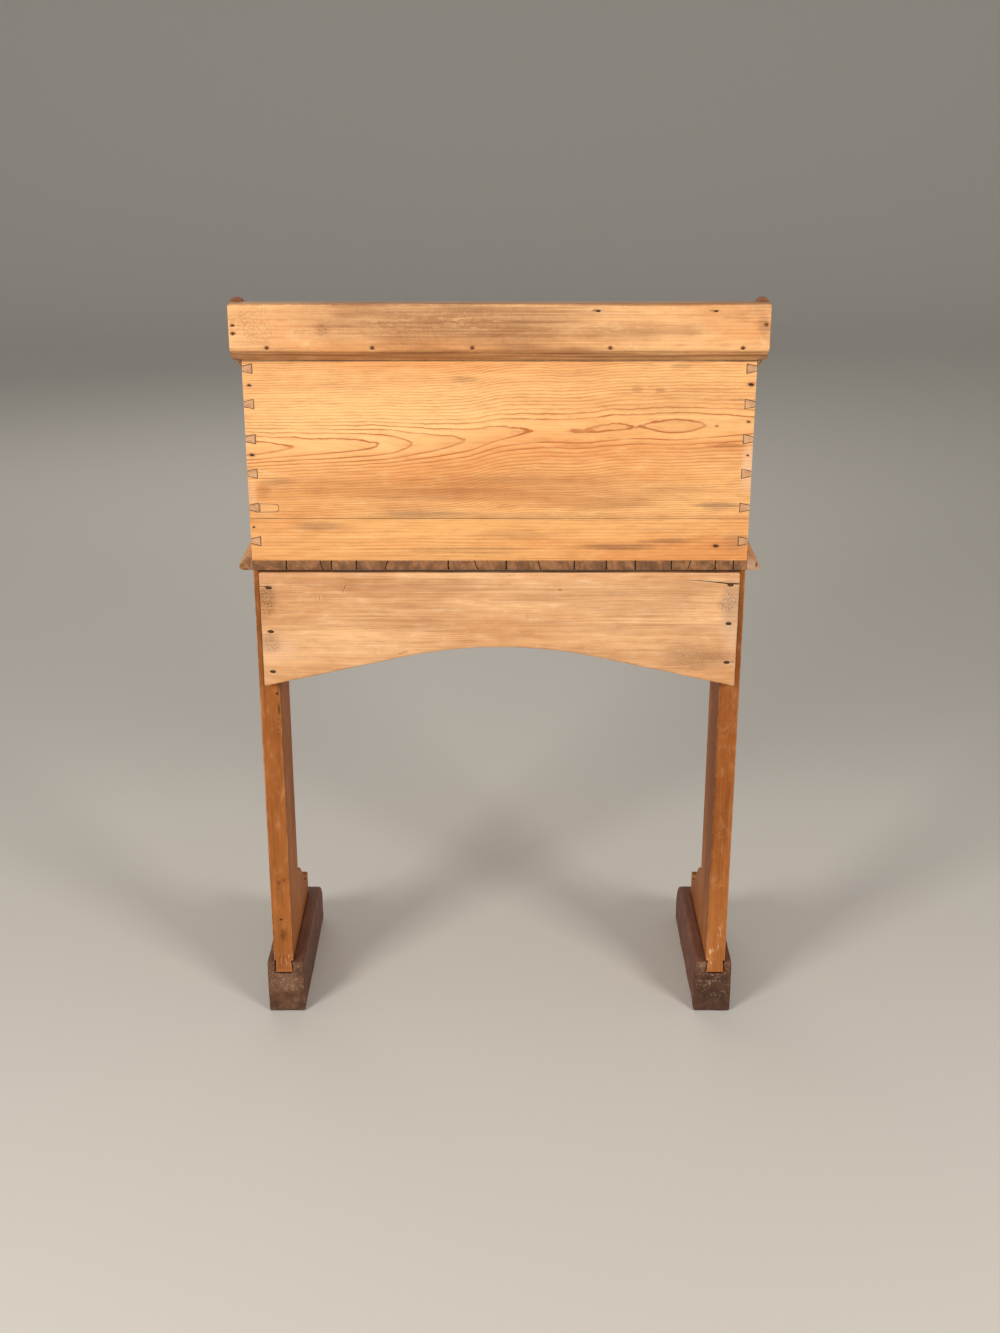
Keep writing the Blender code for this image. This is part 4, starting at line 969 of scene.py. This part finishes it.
# %% Stains on the gallery rail
GALLERY_COLOURS = {
    **BOX_COLOURS, "pale": paint(244, 194, 136), "warm": paint(226, 162, 101),
    "smear": paint(116, 64, 30), "film": paint(126, 72, 34), "end": paint(124, 84, 54),
    "end_dark": paint(88, 56, 34), "scuffs": paint(228, 176, 122), "lines": 0.3, "streaks": 0.18}
RUST_ROUND_NAILS = 0.35
rail_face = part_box("gallery_back_rail")[1].y
rail_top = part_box("gallery_back_rail")[1].z


def nail_middles(prefix):
    """The middles of CAD nails whose names begin alike."""
    return [sum(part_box(name), Vector()) / 2 for name in nodes if name.startswith(prefix)]


def stains_round(prefix, face):
    """Rust marks round CAD nails."""
    return [mark_on(face, spot.x, spot.z, RUST_HALF_WIDTH, RUST_HALF_HEIGHT, RUST_ROUND_NAILS)
            for spot in nail_middles(prefix)]


RAIL_MARKS = {
    "film": marks_on(rail_face, (0.05, 0.982, 0.25, 0.06, 0.5, 0.02),
                     (-0.15, 0.972, 0.12, 0.018, 0.5, 0.02), (-0.02, 0.99, 0.16, 0.03, 0.5, 0.02)),
    "smear": marks_on(rail_face, (0.216, 0.975, 0.011, 0.009, 0.25), (-0.118, 0.998, 0.0085, 0.0024, 0.8),
                      (-0.261, 0.998, 0.0085, 0.0022, 0.7), (0.03, 0.985, 0.22, 0.03, 0.2, 0.02),
                      (0.0, rail_top, 20.0, 0.003, 0.6, 0.03), (-0.17, rail_top, 0.2, 0.005, 0.7, 0.03),
                      (0.0, 0.94, 2.0, 0.011, 0.75, 0.03)) + stains_round("rail", rail_face),
    "grey": marks_on(rail_face, (-0.322, 0.98, 0.012, 0.018, 0.5)),
    "scuffs": marks_on(rail_face, (0.07, 0.984, 0.14, 0.02, 0.6), (-0.13, 0.98, 0.1, 0.016, 0.5)),
    "specks": marks_on(rail_face, (0.305, 0.98, 0.045, 0.035, 0.35), (0.216, 0.976, 0.016, 0.012, 0.45),
                       (0.05, 0.98, 0.2, 0.04, 0.25)),
    "grime": marks_on(rail_face, (0.0, 0.947, 2.0, 0.0016, 0.3, 0.01),
                      (0.328, rail_low, 0.016, 0.012, 0.8, 0.03),
                      (-0.328, rail_low, 0.016, 0.012, 0.8, 0.03))}
print(sum(len(rows) for rows in RAIL_MARKS.values()), "stains on the rail")

# %% [markdown]
# The rail's edges are soft and uneven, so it gets the fine mesh and is worn down. The nails keep their
# CAD places, so the worn rail is cut open round them again, and two more nails are set into it. The
# gallery's rounded side pieces behind its ends are worn in the same way, and darker.

# %% The gallery
SMALL_RAIL_NAILS = ((-0.12, 0.9975), (-0.263, 0.9975))
SMALL_HEADS_SUNK = 0.0014
LARGE_NAILS = ("rail_end", "rail_nail_1", "rail_nail_5")
LESSER_NAILS = ("rail_nail_2", "rail_nail_3", "rail_nail_4")
EAR_COLOURS = {**GALLERY_COLOURS, "pale": paint(156, 110, 76), "warm": paint(126, 86, 58)}


def nail_places(prefix, height=0.0024, length=0.0042):
    """Paths round CAD nails, to cut them free."""
    return [nail_hole(spot.x, spot.z, 0.0, length, height) for spot in nail_middles(prefix)]


rail = worked_copy("gallery_back_rail")
wear_down(rail, mesh_size=0.0015, rounds=2, dents=0.0004, dent_size=0.03)
small_paths = [nail_hole(x, z, -0.1) for x, z in SMALL_RAIL_NAILS]
rail_paths = [path for prefix in LARGE_NAILS for path in nail_places(prefix)] + small_paths
for prefix in LESSER_NAILS:
    rail_paths += nail_places(prefix, height=0.0018, length=0.0032)
cut(rail, cutter("rail_holes", [(path, rail_face, NAIL_HOLE_DEPTH) for path in rail_paths]))
dress(wood("rail_pine", "XZY", straight(0.90, 0.02, ring=0.0044, first=0.004), GALLERY_COLOURS, rail_face,
           grime=0.6, scuffs=0.3, marks=RAIL_MARKS), rail)
ears = [worked_copy(name) for name in ("gallery_side_left", "gallery_side_right")]
for ear in ears:
    wear_down(ear, mesh_size=0.0013, rounds=4, dents=0.0004, dent_size=0.02)
ear_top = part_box("gallery_side_left")[1].z
# This mark darkens the top of each side piece.
EAR_MARKS = {"film": marks_on(back_face, (0.0, ear_top, 20.0, 0.03, 0.9, 0.05))}
dress(wood("ear_pine", "YZX", straight(0.93, 0.02), EAR_COLOURS, grime=0.7, marks=EAR_MARKS), *ears)
nail_heads("small_rail_nails", small_paths, rail_face - SMALL_HEADS_SUNK)
print(f"the rail is cut open round {len(rail_paths)} nails")

# %% [markdown]
# The ledge and the lid are cleaner. The lid's two boards run across the desk, and a cleat with its grain
# the other way closes each end. Each board comes from another place in the tree, so each has its own
# heart. All of them are flat and little worn. Blender narrows their Bevel to less than a tenth of a
# millimetre, so their edges stay nearly sharp.

# %% The ledge and the lid
LID_EDGE = 0.001
LID_HEARTS = (0.03, -0.1)
LID_COLOURS = {**BOX_COLOURS, "pale": paint(236, 182, 118), "warm": paint(220, 154, 90)}
ledge = eased("lid_pine", LID_EDGE, "top_ledge")
dress(wood("ledge_pine", "XYZ", straight(0.15, 0.03, ring=0.0044, line=0.0011), LID_COLOURS), *ledge)
lid_boards = eased("lid_pine", LID_EDGE, "lid_board_upper", "lid_board_lower")
lid_face = HINGE_LINE[2]
for board, heart in zip(lid_boards, LID_HEARTS):
    figure = straight(heart, 0.03, ring=0.005, waver=0.008, lean=0.02, line=0.0013,
                      dive=0.3 * heart + 0.08, jag=0.0012)
    dress(wood(board.name + "_pine", "XYZ", figure, LID_COLOURS, lid_face, sloped=True), board)
cleats = eased("lid_pine", LID_EDGE, "lid_cleat_left", "lid_cleat_right")
cleat_figure = straight(0.2, 0.025, ring=0.0044, line=0.0011)
dress(wood("cleat_pine", "YXZ", cleat_figure, LID_COLOURS, sloped=True), *cleats)
print("the lid has", len(lid_boards) + len(cleats), "pieces of wood")

# %% [markdown]
# The apron is a paler, pinkish board with little figure. Its ends are smudged and speckled round the
# nails. Its top edge, in the corner under the box, is blackened partly by dirt and partly by painted
# shade. The shared grime finds only narrow joints, so a long thin mark blackens that edge. A pale line
# along the top arris is partly wear and partly a painted highlight.

# %% Stains on the apron
APRON_COLOURS = {
    **BOX_COLOURS, "pale": paint(236, 184, 132), "warm": paint(210, 152, 102), "line": paint(140, 90, 56),
    "dust": paint(222, 184, 152), "smudge": paint(128, 90, 64), "smear": paint(150, 96, 58),
    "worn": paint(246, 218, 180), "lines": 0.15, "streaks": 0.18, "fibres": 0.45}
apron_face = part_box("apron")[1].y
apron_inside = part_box("apron")[0].y
apron_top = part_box("apron")[1].z
pricks = [(0.1304 - step * 0.0028, 0.5515 + step * 0.0009, 0.001, 0.0016, 0.8) for step in range(4)]
APRON_MARKS = {
    "smear": marks_on(apron_face, (-0.08, 0.632, 0.12, 0.02, 0.4), (0.1, 0.645, 0.2, 0.012, 0.4),
                      (-0.2, 0.62, 0.1, 0.03, 0.25), (0.12, 0.6, 0.1, 0.03, 0.35),
                      (-0.2, 0.585, 0.12, 0.012, 0.25)) + stains_round("apron_nail", apron_face),
    "dust": marks_on(apron_face, (-0.303, 0.6, 0.02, 0.07, 0.5), (0.29, 0.56, 0.04, 0.03, 0.3)),
    "smudge": marks_on(apron_face, (0.301, 0.628, 0.02, 0.026, 0.4), (0.3, 0.566, 0.024, 0.02, 0.3),
                       (-0.302, 0.62, 0.02, 0.05, 0.4), (-0.26, 0.545, 0.07, 0.025, 0.35)),
    # This pale line along the top arris is partly wear, partly a painted highlight.
    "worn": marks_on(apron_face, (0.0, apron_top, 20.0, 0.0018, 0.8, 0.003)),
    "knot": marks_on(apron_face, (-0.078, 0.639, 0.003, 0.002, 0.7)),
    "specks": marks_on(apron_face, (0.302, 0.622, 0.016, 0.03, 0.75), (0.3, 0.565, 0.016, 0.02, 0.5),
                       (-0.297, 0.622, 0.016, 0.022, 0.6), (-0.26, 0.545, 0.06, 0.02, 0.3)),
    # The long row at the top blackens the apron's top face under the box: partly dirt, partly painted
    # shade.
    "grime": marks_on(back_face, (0.0, apron_top, 20.0, 0.003, 1.0, 0.0085))
             + marks_on(apron_face, *pricks)}
print(sum(len(rows) for rows in APRON_MARKS.values()), "stains on the apron")

# %% [markdown]
# The apron has split at its nails, and something has scratched it. Those are thin wedges, cut out of the
# worn board. Its inner side lies against the legs, where nothing could wear it, so that side is spared.

# %% The apron
APRON_CRACKS = (
    ((-0.238, 0.6526, 0.0003), (-0.262, 0.651, 0.0012), (-0.296, 0.6474, 0.0022),
     (-0.313, 0.6466, 0.0026)),
    ((0.294, 0.6432, 0.0004), (0.302, 0.6437, 0.0009), (0.313, 0.6428, 0.0012)),
    ((-0.295, 0.5392, 0.0004), (-0.303, 0.5396, 0.0008), (-0.313, 0.5388, 0.001)),
    ((0.2326, 0.6325, 0.0006), (0.2324, 0.6285, 0.0009), (0.2325, 0.623, 0.0005)),
    ((0.1985, 0.645, 0.0009), (0.2, 0.6405, 0.0006), (0.2035, 0.634, 0.0004)))
CRACK_STEEPNESS = 3
SPARED = 0.006
apron = worked_copy("apron")
wear_down(apron, mesh_size=0.002, rounds=2, dents=0.0005, dent_size=0.03, sheltered=apron_inside + SPARED)
opening_paths = nail_places("apron_nail", height=0.0062, length=0.0078)
cut(apron, cutter("apron_openings", [(path, apron_face, NAIL_HOLE_DEPTH) for path in opening_paths]))
crack_shapes = [(path, apron_face, path[1][2] * CRACK_STEEPNESS) for path in APRON_CRACKS]
cut(apron, cutter("apron_cracks", crack_shapes))
apron_figure = straight(0.54, 0.06, ring=0.011, first=0.004, waver=0.01, lean=0.04, line=0.001)
dress(wood("apron_pine", "XZY", apron_figure, APRON_COLOURS, apron_face, grime=0.35, scuffs=0.12,
           sheen=0.2, marks=APRON_MARKS), apron)
print(f"{len(APRON_CRACKS)} cracks in the apron, and {len(opening_paths)} nails")

# %% [markdown]
# The legs are another wood, stained and varnished orange-brown. Their arrises are rubbed to bare wood.
# Where they meet the apron they are darkened by painted shade, under its lower edge and in the gap
# beside its ends. One leg's inner face is darkened by painted shade too, and there are small black spots
# of dirt, and pale scuffs low down. Their edges are still straight, so they are only eased, and the
# finish does the rest.

# %% The legs
LEG_EDGE = 0.0012
LEG_COLOURS = {
    **BOX_COLOURS, "pale": paint(178, 110, 56), "warm": paint(156, 90, 42), "line": paint(112, 58, 24),
    "end": paint(130, 84, 50), "end_dark": paint(92, 56, 32), "grime": paint(40, 23, 13),
    "worn": paint(222, 168, 112), "smear": paint(96, 54, 26), "film": paint(96, 52, 26),
    "scuffs": paint(226, 184, 146), "lines": 0.4, "streaks": 0.3}
leg_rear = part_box("leg_right")[1].y
LEG_MARKS = {
    # Of these rows, the two at 0.312 darken the gap beside the apron's ends and the two at 0.284 darken
    # the inner faces under the apron: both are painted shade.
    "grime": marks_on(leg_rear, (0.2955, 0.488, 0.003, 0.0025, 0.95), (0.2945, 0.466, 0.0018, 0.012, 0.8),
                      (0.306, 0.147, 0.0024, 0.0022, 0.95), (0.3065, 0.205, 0.003, 0.004, 0.45),
                      (0.3, 0.209, 0.003, 0.005, 0.45), (0.312, 0.58, 0.0018, 0.11, 0.95),
                      (-0.312, 0.58, 0.0018, 0.11, 0.95), (0.284, 0.515, 0.012, 0.04, 1.0, 0.1),
                      (-0.284, 0.515, 0.012, 0.04, 1.0, 0.1)),
    # This row darkens one leg's inner face as painted shade.
    "film": marks_on(leg_rear, (-0.292, 0.35, 0.004, 0.3, 0.6, 0.12)),
    "smear": marks_on(leg_rear, (0.305, 0.2, 0.006, 0.04, 0.4), (-0.31, 0.3, 0.004, 0.08, 0.4),
                      (0.304, 0.122, 0.007, 0.016, 0.8)),
    "scuffs": marks_on(leg_rear, (-0.297, 0.085, 0.012, 0.022, 1.0), (-0.309, 0.12, 0.005, 0.04, 0.9),
                       (0.302, 0.085, 0.014, 0.016, 0.7))}
legs = eased("leg_wood", LEG_EDGE, "leg_left", "leg_right")
dress(wood("leg_wood", "ZYX", straight(0.05, 0.03, ring=0.006), LEG_COLOURS, grime=0.35, wear=1.0,
           scuffs=0.15, gloss=0.4, sheen=0.08, marks=LEG_MARKS), *legs)
print(f"{len(legs)} legs dressed")

# %% [markdown]
# The feet stood on wet floors and took every kick. They are almost black, with pale scuffs. Eased edges
# would look new here, so the feet get the fine mesh and are worn the roundest of all.

# %% The feet
FOOT_COLOURS = {
    **BOX_COLOURS, "pale": paint(128, 72, 46), "warm": paint(98, 54, 34), "line": paint(60, 33, 21),
    "end": paint(113, 75, 51), "end_dark": paint(75, 45, 29), "grime": paint(32, 20, 15),
    "worn": paint(158, 120, 92), "smear": paint(60, 37, 24), "film": paint(54, 33, 21),
    "scuffs": paint(172, 140, 114), "lines": 0.4, "streaks": 0.4}
foot_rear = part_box("foot_left")[1].y
FOOT_MARKS = {
    "film": marks_on(foot_rear, (-0.303, 0.03, 0.05, 0.06, 0.75, 0.02)),
    "worn": marks_on(foot_rear, (0.303, 0.05, 0.03, 0.02, 0.3), (-0.29, 0.075, 0.02, 0.01, 0.3)),
    "scuffs": marks_on(foot_rear, (-0.303, 0.055, 0.04, 0.05, 0.6), (-0.287, 0.07, 0.009, 0.014, 0.9),
                       (-0.319, 0.07, 0.009, 0.014, 0.9), (0.287, 0.07, 0.009, 0.014, 0.9),
                       (0.303, 0.055, 0.04, 0.03, 0.7))}
feet = [worked_copy(name) for name in ("foot_left", "foot_right")]
for foot in feet:
    wear_down(foot, mesh_size=0.002, rounds=9, dents=0.0016, dent_size=0.03)
dress(wood("foot_wood", "YXZ", straight(0.3, 0.03), FOOT_COLOURS, wear=0.6, scuffs=0.5, sheen=0.3,
           marks=FOOT_MARKS), *feet)
print(f"{len(bpy.data.materials)} finishes so far")

# %% [markdown]
# The stage is a wide pale floor with nothing on it. It sweeps up into a wall far behind the desk, so
# that no edge shows in the main view.

# %% Floor
FLOOR_REACH = 30.0
WALL_AWAY = 5.0
SWEEP = 2.5
SWEEP_STEP = 6
sweep_turns = [math.radians(turn) for turn in range(0, 91, SWEEP_STEP)]
profile = [(FLOOR_REACH, 0.0)]
profile += [(-WALL_AWAY - SWEEP * math.sin(turn), SWEEP * (1 - math.cos(turn))) for turn in sweep_turns]
profile += [(-WALL_AWAY - SWEEP, FLOOR_REACH)]
floor_mesh = bpy.data.meshes.new("floor")
edit = bmesh.new()
rows = [[edit.verts.new((x, y, z)) for x in (-FLOOR_REACH, FLOOR_REACH)] for y, z in profile]
for low, high in zip(rows, rows[1:]):
    edit.faces.new((low[0], low[1], high[1], high[0])).smooth = True
bmesh.ops.recalc_face_normals(edit, faces=edit.faces)
edit.to_mesh(floor_mesh)
edit.free()
floor = bpy.data.objects.new("floor", floor_mesh)
bpy.context.scene.collection.objects.link(floor)
floor_paint, _, floor_shader = new_finish("pale_floor")
floor_shader.inputs["Base Color"].default_value = paint(205, 200, 192)
floor_shader.inputs["Roughness"].default_value = 0.7
floor_mesh.materials.append(floor_paint)
print(f"the floor has {len(floor_mesh.polygons)} faces")

# %% [markdown]
# Two soft lights stand on the camera's side, left and right and somewhat higher than the desk, so the
# back is bright and the bevel under the rail falls into shade. A large weak one lights the front for the
# other views, and a pale sky fills the shadows. One lamp alone would throw a single hard shadow.

# %% Lights
SKY_COLOUR, SKY_STRENGTH = (1.0, 0.99, 0.97, 1.0), 0.35
LAMP_COLOUR = (1.0, 0.97, 0.93)
SIDE_POWER, SIDE_DIFFERENCE = 51.0, 4.0
world = bpy.data.worlds.new("studio")
bpy.context.scene.world = world
world.use_nodes = True
sky = world.node_tree.nodes["Background"]
sky.inputs["Color"].default_value = SKY_COLOUR
sky.inputs["Strength"].default_value = SKY_STRENGTH


def soft_light(name, place, target, size, power):
    """Hangs a square soft light and turns it to a target."""
    lamp = bpy.data.lights.new(name, "AREA")
    lamp.size = size
    lamp.energy = power
    lamp.color = LAMP_COLOUR
    holder = bpy.data.objects.new(name, lamp)
    holder.location = place
    holder.rotation_euler = (Vector(target) - Vector(place)).to_track_quat("-Z", "Y").to_euler()
    bpy.context.scene.collection.objects.link(holder)


for side, name in ((1, "left_light"), (-1, "right_light")):
    power = SIDE_POWER + side * SIDE_DIFFERENCE
    soft_light(name, place=(side * 1.75, 2.3, 1.75), target=(0.0, 0.15, 0.7), size=0.8, power=power)
soft_light("front_light", place=(0.8, -2.8, 2.6), target=(0.0, 0.0, 0.6), size=3.0, power=26.0)
print(f"{len(bpy.data.lights)} lights")

# %% [markdown]
# The camera stands behind the desk, somewhat above it, and looks down at the middle of its height. Its
# place, tilt and lens were worked out together, from measured edges, because each one upsets the others.

# %% Camera
LENS, SENSOR = 46.6, 36.0
CAMERA_PLACE = (-0.0007, 2.3266, 1.342)
CAMERA_TILT = math.radians(69.085)
camera_data = bpy.data.cameras.new("camera")
camera_data.lens = LENS
camera_data.sensor_width = SENSOR
camera = bpy.data.objects.new("camera", camera_data)
camera.location = CAMERA_PLACE
camera.rotation_euler = (CAMERA_TILT, 0.0, math.pi)
bpy.context.scene.collection.objects.link(camera)
bpy.context.scene.camera = camera
bpy.context.scene.view_settings.view_transform = "Standard"
print(f"the camera is {camera.location.y - back_face:.2f} m behind the desk")
